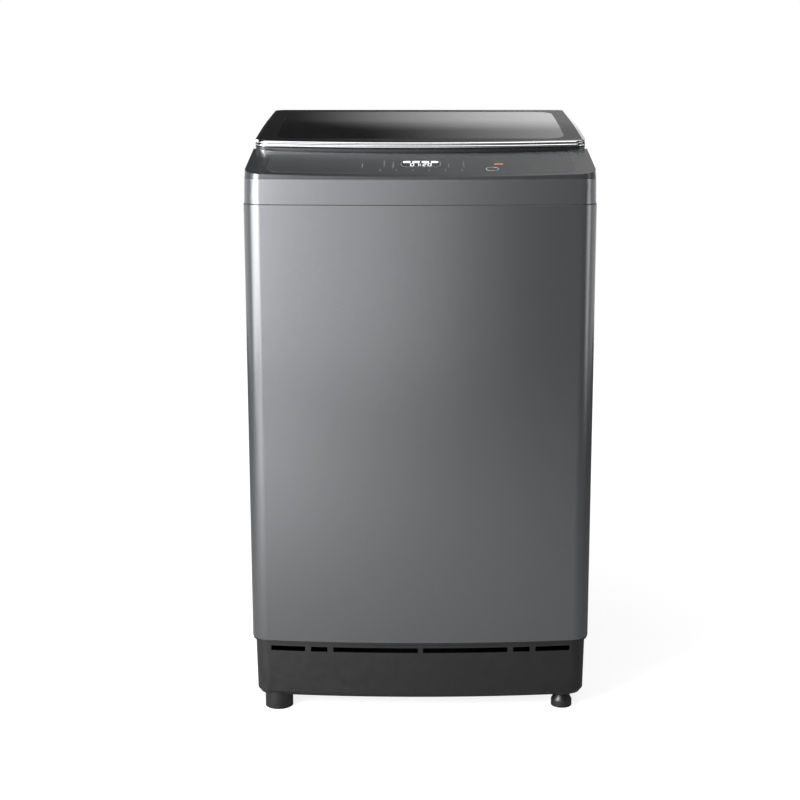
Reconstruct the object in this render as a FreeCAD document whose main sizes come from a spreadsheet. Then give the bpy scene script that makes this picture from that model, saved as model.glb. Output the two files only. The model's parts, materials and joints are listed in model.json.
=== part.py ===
import FreeCAD, Part
import math
import os
import re

import Sketcher

# A top-load washing machine, in millimetres. +X is its right side, +Y its back, +Z is up.
# The origin is on the floor, under the middle of its outer box.

V = FreeCAD.Vector
doc = FreeCAD.newDocument("washing_machine")

# Sizes that can be set one by one.
SIZES = {
    "cabinet_width": 590, "machine_depth": 615, "rear_reach": 12.5,
    "corner_radius": 34, "front_bow": 15, "sheet": 1,
    "base_bottom_z": 28, "cabinet_bottom_z": 132, "seam_z": 889,
    "rear_flange": 26, "panel_emboss": 6, "panel_margin": 14,
    "access_width": 300, "access_height": 250, "access_z": 175, "access_wall": 2.5,
    # top cover, its painted band and the console
    "band_inset": 1.1, "band_wall": 1.6, "band_top_z": 931, "waist_z": 931, "waist_inset": 2.1,
    "side_lean": 0.1, "block_top_z": 1060, "cover_wall": 3.6,
    "console_front_z": 934.5, "console_run": 138, "console_slope": 0.232,
    "recess_half": 257, "recess_depth": 16, "recess_back": 170,
    "mouth_half": 200, "mouth_front": 186, "mouth_back": 432, "mouth_corner": 55, "skirt_z": 925,
    "ledge_front": 562, "ledge_z": 1027,
    "overlay_half": 256, "overlay_front": 18, "overlay_back": 134, "overlay_corner": 20,
    "overlay_wall": 1, "overlay_proud": 0.2,
    "display_half": 34, "display_front": 57, "display_back": 94, "display_corner": 8,
    "fit_gap": 0.1, "run_gap": 0.3, "shaft_gap": 0.05,
    "board_half": 150, "board_front": 45, "board_back": 120, "board_wall": 1.6,
    "tray_wall": 2, "tray_depth": 12,
    # lid
    "lid_front": 150, "lid_back": 552, "lid_front_z": 984, "lid_back_z": 1031,
    "lid_crown_at": 330, "lid_crown_z": 1009.5, "lid_crown_radius": 3000,
    "lid_depth": 24, "seat_gap": 3, "lid_side_in": 8, "lid_front_corner": 20, "lid_rear_corner": 24,
    "glass_wall": 4, "glass_front": 161, "glass_back": 544, "side_trim": 5, "trim_depth": 11,
    "hinge_at": 549, "hinge_z": 1020, "hinge_x": 200, "ear_width": 14, "ear_radius": 5.5,
    "ear_neck": 4.4, "pin_radius": 2.5, "pin_length": 34, "damper_length": 34, "bumper_radius": 6,
    # detergent drawer and water inlet
    "drawer_half": 100, "drawer_bottom_z": 942, "drawer_height": 36, "drawer_length": 96,
    "drawer_wall": 2.5, "housing_wall": 3, "housing_gap": 3,
    "valve_x": 85, "valve_width": 50, "valve_depth": 50, "valve_bottom_z": 955,
    "valve_height": 45, "nozzle_z": 985, "nozzle_radius": 13.2, "nozzle_bore": 8, "nozzle_clearance": 6,
    "spout_radius": 9,
    # base and feet
    "base_top_inset": 5.4, "base_foot_inset": 7.3, "base_wall": 3, "base_flange": 24, "base_foot_wall": 8,
    "base_round_in": 6, "base_round_up": 8,
    "vent_bottom_z": 112, "vent_height": 9, "upstand": 18,
    "foot_x": 251, "foot_front": 50, "foot_rear_y": 250, "boss_radius": 26, "boss_height": 55,
    "fixed_foot_radius": 24.5, "level_pad_radius": 18.3, "level_pad_height": 11,
    "level_neck_radius": 13, "stem_radius": 6, "stem_length": 50, "nut_across": 22, "nut_height": 6,
    "tray_plate": 2, "outlet_x": -180, "outlet_z": 95, "outlet_radius": 15, "outlet_bore": 12,
    "gland_x": 215, "gland_z": 560, "gland_radius": 11, "gland_bore": 4.2,
    # tub, basket and pulsator
    "tub_centre_y": -6, "tub_radius": 262, "tub_wall": 3, "tub_floor_z": 285, "tub_floor": 4,
    "tub_top_z": 872, "tub_ring_inner": 216, "tub_ring_height": 18, "tub_hub_radius": 40,
    "basket_radius": 245, "basket_wall": 1, "basket_floor_z": 303, "basket_base_height": 26,
    "basket_top_z": 828, "ring_inner": 208, "ring_height": 34, "ring_skirt": 12,
    "pulsator_radius": 182, "pulsator_z": 332, "pulsator_plate": 5, "pulsator_hub": 46,
    "vane_height": 26, "vane_width": 16, "vane_count": 6, "cap_radius": 24, "cap_height": 12,
    "filter_width": 84, "filter_height": 210, "filter_depth": 22, "filter_z": 520,
    # suspension
    "rod_x": 238, "rod_y": 228, "rod_radius": 5, "rod_top_z": 885, "rod_bottom_z": 236,
    "bracket_z": 868, "bracket_width": 48, "bracket_plate": 3, "bracket_lip": 30, "bracket_reach": 86,
    "seat_radius": 14, "lug_z": 330, "lug_height": 15, "lug_width": 50, "lug_hole": 8, "lug_end": 24,
    "sleeve_radius": 24, "sleeve_height": 12, "spring_radius": 20, "spring_inner": 14,
    # drive
    "plate_left": -120, "plate_right": 235, "plate_half": 105, "plate_wall": 3,
    "housing_radius": 50, "housing_bottom_z": 205, "flange_radius": 85, "flange_wall": 6,
    "bearing_radius": 31, "bearing_width": 16, "spin_shaft_radius": 20, "spin_shaft_bottom_z": 190,
    "wash_shaft_radius": 9, "wash_shaft_bottom_z": 202, "hub_flange_radius": 62,
    "motor_x": 165, "motor_radius": 60, "motor_height": 82, "motor_shaft_radius": 6,
    "pulley_z": 168, "pulley_height": 18, "pulley_lip": 4, "pulley_lip_height": 4,
    "clutch_pulley_radius": 80, "motor_pulley_radius": 25, "belt_wall": 6,
    "drain_x": -60, "drain_y": 190, "drain_radius": 28, "drain_height": 60, "hose_radius": 17,
    "hose_bore": 13, "hose_z": 245, "hose_bend": 45, "hose_start": 42,
    "lever_y": 130, "lever_z": 246, "lever_wall": 5, "lever_width": 16, "lever_front": 60,
    "lever_back": 34, "lever_pin_radius": 4,
}

# Places worked out from those sizes.
PLACES = {
    "half_width": "cabinet_width / 2",
    "front_y": "-machine_depth / 2",
    "rear_y": "machine_depth / 2 - rear_reach",
    "bow_radius": "((half_width - corner_radius)^2 + front_bow^2) / (2 * front_bow)",
    "bow_centre_y": "front_y + bow_radius",
    "console_top_z": "console_front_z + console_run * console_slope",
    "recess_floor_z": "console_top_z - recess_depth",
    "lid_rise": "(lid_back_z - lid_front_z) / (lid_back - lid_front)",
    "lid_under_z": "lid_front_z - lid_depth",
    "hinge_y": "front_y + hinge_at",
    "hinge_right_x": "cabinet_width / 2 - (295 - hinge_x)",
    "drawer_face_y": "front_y + mouth_back",
    "housing_front_y": "front_y + mouth_back + cover_wall",
    "drain_floor_z": "tub_floor_z - drain_height",
    "belt_bottom_z": "pulley_z + pulley_lip_height + run_gap",
    "belt_height": "pulley_height - 2 * pulley_lip_height - 2 * run_gap",
    "spring_top_z": "lug_z - sleeve_height - run_gap",
    "spring_bottom_z": "rod_bottom_z + 4 + run_gap",
    "drive_top_z": "tub_floor_z - plate_wall",
}

sheet = doc.addObject("Spreadsheet::Sheet", "sizes")
for row, (size_name, size) in enumerate(SIZES.items(), 1):
    sheet.set(f"A{row}", size_name)
    sheet.set(f"B{row}", str(size))
    sheet.setAlias(f"B{row}", size_name)
doc.recompute()

nodes = []


def link(text):
    """Turn names of sizes and places into references to the sheet."""
    def swap(match):
        name = match.group(0)
        if name in PLACES:
            return "(" + link(PLACES[name]) + ")"
        return "sizes." + name if name in SIZES else name
    return re.sub(r"[a-z][a-z0-9_]*", swap, str(text))


def value(text):
    return float(sheet.evalExpression(link(text)))


def bind(thing, **settings):
    for name, text in settings.items():
        thing.setExpression(name.replace("__", "."), link(text))


def node(name, thing):
    thing.Label = name
    nodes.append(thing)
    return thing


# ---- sketches and features of a body ----

def new_body(name, centre_y=None):
    body = doc.addObject("PartDesign::Body", name)
    if centre_y:
        bind(body, Placement__Base__y=centre_y)
    return body


def origin_part(body, role):
    return next(item for item in body.Origin.OriginFeatures if item.Role == role)


def new_sketch(body, plane="XY_Plane", offset="0"):
    sketch = body.newObject("Sketcher::SketchObject", "sketch")
    sketch.AttachmentSupport = (origin_part(body, plane), [""])
    sketch.MapMode = "FlatFace"
    bind(sketch, AttachmentOffset__Base__z=offset)
    return sketch


def hold(sketch, kind, *where, size=None):
    if size is None:
        return sketch.addConstraint(Sketcher.Constraint(kind, *where))
    number = sketch.addConstraint(Sketcher.Constraint(kind, *where, value(size)))
    sketch.setExpression(f"Constraints[{number}]", link(size))
    return number


def pin_point(sketch, geometry, end, x, y):
    hold(sketch, "DistanceX", -1, 1, geometry, end, size=x)
    hold(sketch, "DistanceY", -1, 1, geometry, end, size=y)


def polygon(sketch, corners):
    """A closed outline through the corners (x, y), or (x, y, radius) where one is rounded."""
    spots = [V(value(corner[0]), value(corner[1]), 0) for corner in corners]
    count = len(corners)
    arcs = []
    starts, ends = list(spots), list(spots)
    for i, corner in enumerate(corners):
        if len(corner) < 3:
            continue
        back = (spots[i - 1] - spots[i]).normalize()
        ahead = (spots[(i + 1) % count] - spots[i]).normalize()
        half_angle = back.getAngle(ahead) / 2
        radius = value(corner[2])
        reach = radius / math.tan(half_angle)
        ends[i] = spots[i] + back * reach
        starts[i] = spots[i] + ahead * reach
        middle = spots[i] + (back + ahead).normalize() * (radius / math.sin(half_angle))
        left_turn = (back * -1).cross(ahead).z > 0
        first, last = (ends[i], starts[i]) if left_turn else (starts[i], ends[i])
        circle = Part.Circle(middle, V(0, 0, 1), radius)
        turn = [math.atan2(p.y - middle.y, p.x - middle.x) for p in (first, last)]
        arcs.append((i, Part.ArcOfCircle(circle, turn[0], turn[1]), left_turn, corner[2]))
    base = sketch.GeometryCount
    for i in range(count):
        sketch.addGeometry(Part.LineSegment(starts[i], ends[(i + 1) % count]), False)
    for i, arc, left_turn, radius in arcs:
        number = sketch.addGeometry(arc, False)
        before, after = base + (i - 1) % count, base + i
        first, last = (1, 2) if left_turn else (2, 1)
        hold(sketch, "Tangent", before, 2, number, first)
        hold(sketch, "Tangent", number, last, after, 1)
        hold(sketch, "Radius", number, size=radius)
        corner_point = sketch.addGeometry(Part.Point(spots[i]), True)
        hold(sketch, "PointOnObject", corner_point, 1, before)
        hold(sketch, "PointOnObject", corner_point, 1, after)
        pin_point(sketch, corner_point, 1, corners[i][0], corners[i][1])
    for i, corner in enumerate(corners):
        if len(corner) == 2:
            hold(sketch, "Coincident", base + (i - 1) % count, 2, base + i, 1)
            pin_point(sketch, base + i, 1, corner[0], corner[1])
    return sketch


def rectangle(sketch, x0, y0, x1, y1, radius=None):
    corners = [(x0, y0), (x1, y0), (x1, y1), (x0, y1)]
    return polygon(sketch, [c + (radius,) if radius else c for c in corners])


def circle(sketch, x, y, radius):
    number = sketch.addGeometry(Part.Circle(V(value(x), value(y), 0), V(0, 0, 1), value(radius)), False)
    pin_point(sketch, number, 3, x, y)
    hold(sketch, "Radius", number, size=radius)
    return sketch


def pad(body, sketch, length, both_ways=False, backwards=False):
    feature = body.newObject("PartDesign::Pad", "pad")
    feature.Profile = sketch
    feature.Midplane = both_ways
    feature.Reversed = backwards
    bind(feature, Length=length)
    return feature


def pocket(body, sketch, length, backwards=True, both_ways=False):
    feature = body.newObject("PartDesign::Pocket", "pocket")
    feature.Profile = sketch
    feature.Midplane = both_ways
    feature.Reversed = backwards
    bind(feature, Length=length)
    return feature


def turned(name, corners, centre_y="tub_centre_y", x="0"):
    """A piece turned about its own upright axis: corners are (radius, height)."""
    body = new_body(name, centre_y)
    bind(body, Placement__Base__x=x)
    feature = body.newObject("PartDesign::Revolution", "turn")
    sketch = polygon(new_sketch(body, "XZ_Plane"), corners)
    feature.Profile = sketch
    feature.ReferenceAxis = (sketch, ["V_Axis"])
    feature.Angle = 360
    return body


def polar(body, feature, count):
    pattern = body.newObject("PartDesign::PolarPattern", "ring")
    pattern.Originals = [feature]
    pattern.Axis = (origin_part(body, "Z_Axis"), [""])
    pattern.Angle = 360
    bind(pattern, Occurrences=count)
    body.Tip = pattern
    return pattern


def row_of(body, feature, role, length, count):
    pattern = body.newObject("PartDesign::LinearPattern", "row")
    pattern.Originals = [feature]
    pattern.Direction = (origin_part(body, role), [""])
    bind(pattern, Length=length)
    pattern.Occurrences = count
    body.Tip = pattern
    return pattern


# ---- plain solids and their sums ----

def box(x0, y0, z0, x1, y1, z1):
    thing = doc.addObject("Part::Box", "box")
    bind(thing, Length=f"({x1}) - ({x0})", Width=f"({y1}) - ({y0})", Height=f"({z1}) - ({z0})",
         Placement__Base__x=x0, Placement__Base__y=y0, Placement__Base__z=z0)
    return thing


TURNS = {"z": FreeCAD.Rotation(), "y": FreeCAD.Rotation(V(1, 0, 0), -90),
         "x": FreeCAD.Rotation(V(0, 1, 0), 90)}


def rod(x, y, z, radius, length, along="z"):
    """A cylinder from (x, y, z) along +X, +Y or +Z."""
    thing = doc.addObject("Part::Cylinder", "rod")
    thing.Placement = FreeCAD.Placement(V(), TURNS[along])
    bind(thing, Radius=radius, Height=length,
         Placement__Base__x=x, Placement__Base__y=y, Placement__Base__z=z)
    return thing


def fuse(*things):
    result = doc.addObject("Part::MultiFuse", "sum")
    result.Shapes = list(things)
    return result


def cut(base, *tools):
    result = doc.addObject("Part::Cut", "cut")
    result.Base = base
    result.Tool = tools[0] if len(tools) == 1 else fuse(*tools)
    return result


def common(*things):
    result = things[0]
    for other in things[1:]:
        joint = doc.addObject("Part::Common", "common")
        joint.Base, joint.Tool = result, other
        result = joint
    return result


def group(name, things):
    result = doc.addObject("Part::Compound", name)
    result.Links = list(things)
    return node(name, result)


def bow_outline(sketch, half, front, back_y, corner):
    """A bowed front edge, parallel to the cabinet's at a distance behind it, with round front corners."""
    corner_x = value(f"({half}) - ({corner})")
    corner_radius = value(corner)
    bow = value(f"bow_radius - ({front})")
    centre_y = value("bow_centre_y")
    side_x = value(half)
    rear = value(back_y)
    corner_y = centre_y - math.sqrt((bow - corner_radius) ** 2 - corner_x ** 2)
    lean = math.atan2(corner_x, centre_y - corner_y)
    down = 1.5 * math.pi
    up = V(0, 0, 1)
    right_corner = Part.Circle(V(corner_x, corner_y, 0), up, corner_radius)
    left_corner = Part.Circle(V(-corner_x, corner_y, 0), up, corner_radius)
    shapes = [
        Part.ArcOfCircle(Part.Circle(V(0, centre_y, 0), up, bow), down - lean, down + lean),
        Part.ArcOfCircle(right_corner, down + lean, 2 * math.pi),
        Part.LineSegment(V(side_x, corner_y, 0), V(side_x, rear, 0)),
        Part.LineSegment(V(side_x, rear, 0), V(-side_x, rear, 0)),
        Part.LineSegment(V(-side_x, rear, 0), V(-side_x, corner_y, 0)),
        Part.ArcOfCircle(left_corner, math.pi, down - lean),
    ]
    for shape in shapes:
        sketch.addGeometry(shape, False)
    for first, second in ((0, 1), (1, 2), (4, 5), (5, 0)):
        hold(sketch, "Tangent", first, 2, second, 1)
    for first, second in ((2, 3), (3, 4)):
        hold(sketch, "Coincident", first, 2, second, 1)
    hold(sketch, "Radius", 0, size=f"bow_radius - ({front})")
    for number in (1, 5):
        hold(sketch, "Radius", number, size=corner)
    hold(sketch, "PointOnObject", 0, 3, -2)
    hold(sketch, "DistanceY", -1, 1, 0, 3, size="bow_centre_y")
    hold(sketch, "Vertical", 2)
    hold(sketch, "Vertical", 4)
    hold(sketch, "Horizontal", 3)
    hold(sketch, "DistanceX", -1, 1, 2, 1, size=half)
    hold(sketch, "DistanceX", -1, 1, 4, 1, size=f"-({half})")
    hold(sketch, "DistanceY", -1, 1, 3, 1, size=back_y)
    return sketch


def outline(sketch, inset, rear_inset="0"):
    """The cabinet's own outline, set in all round."""
    return bow_outline(sketch, f"half_width - ({inset})", inset, f"rear_y - ({rear_inset})",
                       f"corner_radius - ({inset})")


def outline_block(sections):
    """A ruled solid through outlines given as (height, inset, rear inset)."""
    body = new_body("block")
    sketches = [outline(new_sketch(body, "XY_Plane", z), inset, rear) for z, inset, rear in sections]
    loft = body.newObject("PartDesign::AdditiveLoft", "loft")
    loft.Profile = sketches[0]
    loft.Sections = sketches[1:]
    loft.Ruled = True
    return body


def bow_sketch(sketch, half, front, back):
    """Front edge on an arc parallel to the cabinet's bow, with straight sides and back edge.
    front and back are distances behind the middle of the cabinet's front."""
    side = value(half)
    bow = value(f"bow_radius - ({front})")
    centre_y = value("bow_centre_y")
    back_y = value(f"front_y + ({back})")
    lean = math.asin(side / bow)
    down = 1.5 * math.pi
    front_y = centre_y - bow * math.cos(lean)
    sketch.addGeometry(Part.ArcOfCircle(Part.Circle(V(0, centre_y, 0), V(0, 0, 1), bow),
                                        down - lean, down + lean), False)
    points = [V(side, front_y, 0), V(side, back_y, 0), V(-side, back_y, 0), V(-side, front_y, 0)]
    for first, second in zip(points, points[1:]):
        sketch.addGeometry(Part.LineSegment(first, second), False)
    for first, second in ((0, 1), (1, 2), (2, 3), (3, 0)):
        hold(sketch, "Coincident", first, 2, second, 1)
    hold(sketch, "PointOnObject", 0, 3, -2)
    hold(sketch, "DistanceY", -1, 1, 0, 3, size="bow_centre_y")
    hold(sketch, "Radius", 0, size=f"bow_radius - ({front})")
    hold(sketch, "Vertical", 1)
    hold(sketch, "Vertical", 3)
    hold(sketch, "Horizontal", 2)
    hold(sketch, "DistanceX", -1, 1, 1, 1, size=half)
    hold(sketch, "DistanceX", -1, 1, 3, 1, size=f"-({half})")
    hold(sketch, "DistanceY", -1, 1, 2, 1, size=f"front_y + ({back})")
    return sketch


def bow_prism(half, front, back, corner=None, bottom="seam_z - 20"):
    body = new_body("bow")
    sketch = new_sketch(body, "XY_Plane", bottom)
    if corner:
        bow_outline(sketch, half, front, f"front_y + ({back})", corner)
    else:
        bow_sketch(sketch, half, front, back)
    pad(body, sketch, f"block_top_z + 20 - ({bottom})")
    return body


def side_prism(corners, half="half_width + 40"):
    """A side view (distance behind the front, height) carried straight across the width."""
    body = new_body("side")
    spots = [(f"front_y + ({c[0]})",) + tuple(c[1:]) for c in corners]
    pad(body, polygon(new_sketch(body, "YZ_Plane"), spots), f"2 * ({half})", both_ways=True)
    return body


def seat_line(at, drop="0"):
    """Height of the lid's flat underside at a distance behind the front."""
    return f"lid_under_z + lid_rise * (({at}) - lid_front) - ({drop})"


def console_line(at, drop="0"):
    return f"console_front_z + console_slope * ({at}) - ({drop})"


# ---- cabinet ----

def cabinet_shell():
    body = new_body("cabinet_shell")
    tall = "seam_z - cabinet_bottom_z"
    pad(body, outline(new_sketch(body, "XY_Plane", "cabinet_bottom_z"), "0"), tall)
    pocket(body, outline(new_sketch(body, "XY_Plane", "cabinet_bottom_z"), "sheet", "sheet"), tall)
    window = rectangle(new_sketch(body, "XZ_Plane", "-rear_y - 1"),
                       "-half_width + rear_flange", "cabinet_bottom_z + rear_flange",
                       "half_width - rear_flange", "seam_z - rear_flange")
    pocket(body, window, "sheet + 4", backwards=True)
    node("cabinet_shell", body)


def rear_panel():
    body = new_body("rear_panel")
    left, low = "-half_width + panel_margin", "cabinet_bottom_z + panel_margin"
    right, high = "half_width - panel_margin", "seam_z - panel_margin"
    plate = rectangle(new_sketch(body, "XZ_Plane", "-rear_y"), left, low, right, high, "8")
    pad(body, plate, "sheet", backwards=True)
    step = "rear_flange + 12"
    inner = (f"-half_width + {step}", f"cabinet_bottom_z + {step}",
             f"half_width - ({step})", f"seam_z - ({step})")
    pad(body, rectangle(new_sketch(body, "XZ_Plane", "-rear_y"), *inner, "20"),
        "panel_emboss", backwards=True)
    hollow = tuple(f"{edge} {'+' if i < 2 else '-'} sheet" for i, edge in enumerate(inner))
    pocket(body, rectangle(new_sketch(body, "XZ_Plane", "-rear_y"), *hollow, "20 - sheet"),
           "panel_emboss - sheet", backwards=False)
    window = rectangle(new_sketch(body, "XZ_Plane", "-rear_y"), "-access_width / 2 + 12", "access_z + 12",
                       "access_width / 2 - 12", "access_z + access_height - 12", "6")
    pocket(body, window, "panel_emboss + 5", backwards=False)
    gland_hole = circle(new_sketch(body, "XZ_Plane", "-rear_y"), "gland_x", "gland_z", "gland_radius - 3")
    pocket(body, gland_hole, "panel_emboss + 5", backwards=False)
    bead = rectangle(new_sketch(body, "XZ_Plane", "-rear_y - panel_emboss"), "-half_width + 90", "600",
                     "half_width - 130", "612", "5.9")
    row_of(body, pad(body, bead, "2", backwards=True), "Z_Axis", "200", 5)
    node("rear_panel", body)


def rear_access_cover():
    body = new_body("rear_access_cover")
    face = "-rear_y - panel_emboss"
    plate = rectangle(new_sketch(body, "XZ_Plane", face), "-access_width / 2", "access_z",
                      "access_width / 2", "access_z + access_height", "10")
    pad(body, plate, "access_wall", backwards=True)
    slot = rectangle(new_sketch(body, "XZ_Plane", face), "-access_width / 2 + 40", "access_z + 60",
                     "access_width / 2 - 40", "access_z + 66", "2.9")
    row_of(body, pocket(body, slot, "access_wall", backwards=False), "Z_Axis", "access_height - 130", 8)
    node("rear_access_cover", body)


def screw_heads():
    spots = [(x, z) for x in ("-half_width + 20", "half_width - 20")
             for z in ("cabinet_bottom_z + 60", "cabinet_bottom_z + 300", "seam_z - 300", "seam_z - 60")]
    group("rear_panel_screws", [rod(x, "rear_y + sheet", z, "4.5", "2.6", "y") for x, z in spots])
    spots = [(x, z) for x in ("-access_width / 2 + 14", "access_width / 2 - 14")
             for z in ("access_z + 14", "access_z + access_height - 14")]
    group("access_cover_screws", [rod(x, "rear_y + panel_emboss + access_wall", z, "4", "2.4", "y")
                                  for x, z in spots])


# ---- top cover ----

def cover_sections(skin, start):
    top_inset = f"waist_inset + side_lean * (block_top_z - waist_z) + ({skin})"
    return [(start, f"band_inset + ({skin})", skin), ("waist_z", f"waist_inset + ({skin})", skin),
            ("block_top_z", top_inset, skin)]


def cover_block(skin, start):
    """The top cover as a filled block, set in by a skin: with the full skin it is the hollow inside."""
    shape = outline_block(cover_sections(skin, start))
    console = side_prism([
        ("-30", start), ("-30", console_line("-30", skin)),
        ("console_run + 90", console_line("console_run + 90", skin)),
        ("console_run + 90", f"ledge_z - ({skin})"), ("machine_depth + 30", f"ledge_z - ({skin})"),
        ("machine_depth + 30", start)])
    well = common(
        bow_prism("half_width + 30", f"lid_front - 2 - ({skin})", f"ledge_front + ({skin})"),
        side_prism([("0", seat_line("0", f"seat_gap + ({skin})")),
                    ("machine_depth", seat_line("machine_depth", f"seat_gap + ({skin})")),
                    ("machine_depth", "block_top_z + 10"), ("0", "block_top_z + 10")]))
    recess = bow_prism(f"recess_half + ({skin})", f"console_run - ({skin})", f"recess_back + ({skin})",
                       bottom=f"recess_floor_z - ({skin})")
    mouth = new_body("mouth")
    pad(mouth, rectangle(new_sketch(mouth, "XY_Plane", "seam_z - 30"),
                         f"-mouth_half - ({skin})", f"front_y + mouth_front - ({skin})",
                         f"mouth_half + ({skin})", f"front_y + mouth_back + ({skin})",
                         f"mouth_corner + ({skin})"), "400")
    return cut(common(shape, console), well, recess, mouth)


def band_zone(inner_inset, top):
    """Everything outside an inner outline, below a level."""
    big = box("-half_width - 30", "front_y - 30", "seam_z - 5", "half_width + 30", "rear_y + 30", top)
    core = outline_block([("seam_z - 10", inner_inset, inner_inset),
                          (f"{top} + 5", inner_inset, inner_inset)])
    return cut(big, core)


def overlay_slab(skin, top, bottom):
    """A plate that follows the console slope, over the overlay's plan."""
    plan = bow_prism(f"overlay_half + ({skin})", f"overlay_front - ({skin})", f"overlay_back + ({skin})",
                     f"overlay_corner + ({skin})")
    slab = side_prism([("0", console_line("0", bottom)), ("console_run + 30",
                                                          console_line("console_run + 30", bottom)),
                       ("console_run + 30", console_line("console_run + 30", top)),
                       ("0", console_line("0", top))])
    return common(plan, slab)


def display_slab(skin, top, bottom):
    body = new_body("display")
    pad(body, rectangle(new_sketch(body, "XY_Plane", "seam_z"), f"-display_half - ({skin})",
                        f"front_y + display_front - ({skin})", f"display_half + ({skin})",
                        f"front_y + display_back + ({skin})", f"display_corner + ({skin})"), "200")
    slab = side_prism([("0", console_line("0", bottom)), ("console_run", console_line("console_run", bottom)),
                       ("console_run", console_line("console_run", top)), ("0", console_line("0", top))])
    return common(body, slab)


def hinge_ear(x, width, radius):
    """A barrel round the hinge line on a neck that stands on the lid's seat."""
    neck = box(x, "hinge_y - ear_neck", seat_line("hinge_at", "seat_gap + 1"), f"({x}) + ({width})",
               "hinge_y + ear_neck", "hinge_z")
    return fuse(rod(x, "hinge_y", "hinge_z", radius, width, "x"), neck)


def top_cover():
    shell = cut(cover_block("0", "seam_z"), cover_block("cover_wall", "seam_z - 1"))
    below_skirt = new_body("below_skirt")
    pad(below_skirt, rectangle(new_sketch(below_skirt, "XY_Plane", "seam_z - 30"),
                               "-mouth_half - cover_wall - 1", "front_y + mouth_front - cover_wall - 1",
                               "mouth_half + cover_wall + 1", "front_y + mouth_back + cover_wall + 1",
                               "mouth_corner + cover_wall + 1"), "skirt_z - seam_z + 30")
    drawer_way = box("-drawer_half - housing_gap / 2", "drawer_face_y - 20",
                     "drawer_bottom_z - housing_gap / 2",
                     "drawer_half + housing_gap / 2", "drawer_face_y + 20",
                     "drawer_bottom_z + drawer_height + housing_gap / 2")
    nozzle_way = rod("valve_x", "rear_y - 20", "nozzle_z", "nozzle_radius + nozzle_clearance", "60", "y")
    shell = cut(shell, below_skirt, drawer_way, nozzle_way, band_zone("band_inset + band_wall", "band_top_z"),
                overlay_slab("fit_gap", "-20", "overlay_wall - overlay_proud"))
    ears = [hinge_ear(x, "ear_width", "ear_radius") for x in ("hinge_right_x", "-hinge_right_x - ear_width")]
    pin_ways = [rod(f"{x} - 1", "hinge_y", "hinge_z", "pin_radius + shaft_gap", "ear_width + 2", "x")
                for x in ("hinge_right_x", "-hinge_right_x - ear_width")]
    node("top_cover", cut(fuse(shell, *ears), *pin_ways))


def cover_band():
    solid = common(outline_block(cover_sections("0", "seam_z")), side_prism([
        ("-30", "seam_z"), ("-30", console_line("-30")), ("console_run", console_line("console_run")),
        ("console_run", "band_top_z"), ("machine_depth + 30", "band_top_z"),
        ("machine_depth + 30", "seam_z")]))
    node("cover_band", common(solid, band_zone("band_inset + band_wall", "band_top_z")))


def console():
    plate = cut(overlay_slab("0", "-overlay_proud", "overlay_wall - overlay_proud"),
                display_slab("0", "-20", "20"))
    node("control_overlay", plate)
    node("display_window", display_slab("-fit_gap", "-overlay_proud", "overlay_wall - overlay_proud"))
    under = "cover_wall"
    tray = side_prism([
        ("board_front - 6", console_line("board_front - 6", under)),
        ("board_front - 6", console_line("board_front - 6", "cover_wall + tray_depth")),
        ("board_back + 6", console_line("board_back + 6", "cover_wall + tray_depth")),
        ("board_back + 6", console_line("board_back + 6", under))], "board_half + 6")
    hollow = side_prism([
        ("board_front - 4", console_line("board_front - 4", "cover_wall - 1")),
        ("board_front - 4", console_line("board_front - 4", "cover_wall + tray_depth - tray_wall")),
        ("board_back + 4", console_line("board_back + 4", "cover_wall + tray_depth - tray_wall")),
        ("board_back + 4", console_line("board_back + 4", "cover_wall - 1"))], "board_half + 4")
    node("control_board_tray", cut(tray, hollow))
    board = side_prism([
        ("board_front", console_line("board_front", "cover_wall + tray_depth - tray_wall - board_wall")),
        ("board_front", console_line("board_front", "cover_wall + tray_depth - tray_wall")),
        ("board_back", console_line("board_back", "cover_wall + tray_depth - tray_wall")),
        ("board_back", console_line("board_back", "cover_wall + tray_depth - tray_wall - board_wall"))],
        "board_half")
    node("control_board", board)


# ---- lid ----

def lid_profile(front, back, top_drop, bottom_drop=None):
    """Side view under the lid's crowned top: to its flat underside, or to a parallel lower curve."""
    top = [(back, f"lid_back_z - ({top_drop}) - lid_fall * (lid_back - ({back}))"),
           ("lid_crown_at", f"lid_crown_z - ({top_drop})", f"lid_crown_radius - ({top_drop})"),
           (front, f"lid_front_z - ({top_drop}) + lid_climb * (({front}) - lid_front)")]
    if bottom_drop is None:
        return [(front, seat_line(front)), (back, seat_line(back))] + top
    low = [(front, f"lid_front_z - ({bottom_drop}) + lid_climb * (({front}) - lid_front)"),
           ("lid_crown_at", f"lid_crown_z - ({bottom_drop})", f"lid_crown_radius - ({bottom_drop})"),
           (back, f"lid_back_z - ({bottom_drop}) - lid_fall * (lid_back - ({back}))")]
    return low + top


PLACES["lid_climb"] = "(lid_crown_z - lid_front_z) / (lid_crown_at - lid_front)"
PLACES["lid_fall"] = "(lid_back_z - lid_crown_z) / (lid_back - lid_crown_at)"


def lid_plan(skin, front, back):
    """The lid seen from above, under its leaning sides."""
    sides = outline_block(cover_sections(skin, "seam_z"))
    half = f"half_width - lid_side_in - ({skin})"
    rounded = new_body("lid_corners")
    pad(rounded, rectangle(new_sketch(rounded, "XY_Plane", "seam_z"), f"-({half})",
                           f"front_y + ({front}) - 100",
                           half, f"front_y + ({back})", f"lid_rear_corner - ({skin})"),
                           "block_top_z - seam_z")
    return common(sides, bow_prism(half, front, back, f"lid_front_corner - ({skin})"), rounded)


def glass_layer(skin, top_drop, bottom_drop):
    return common(lid_plan(f"side_trim - ({skin})", f"glass_front - ({skin})", f"glass_back + ({skin})"),
                  side_prism(lid_profile("lid_front - 20", "lid_back + 20", top_drop, bottom_drop)))


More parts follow.
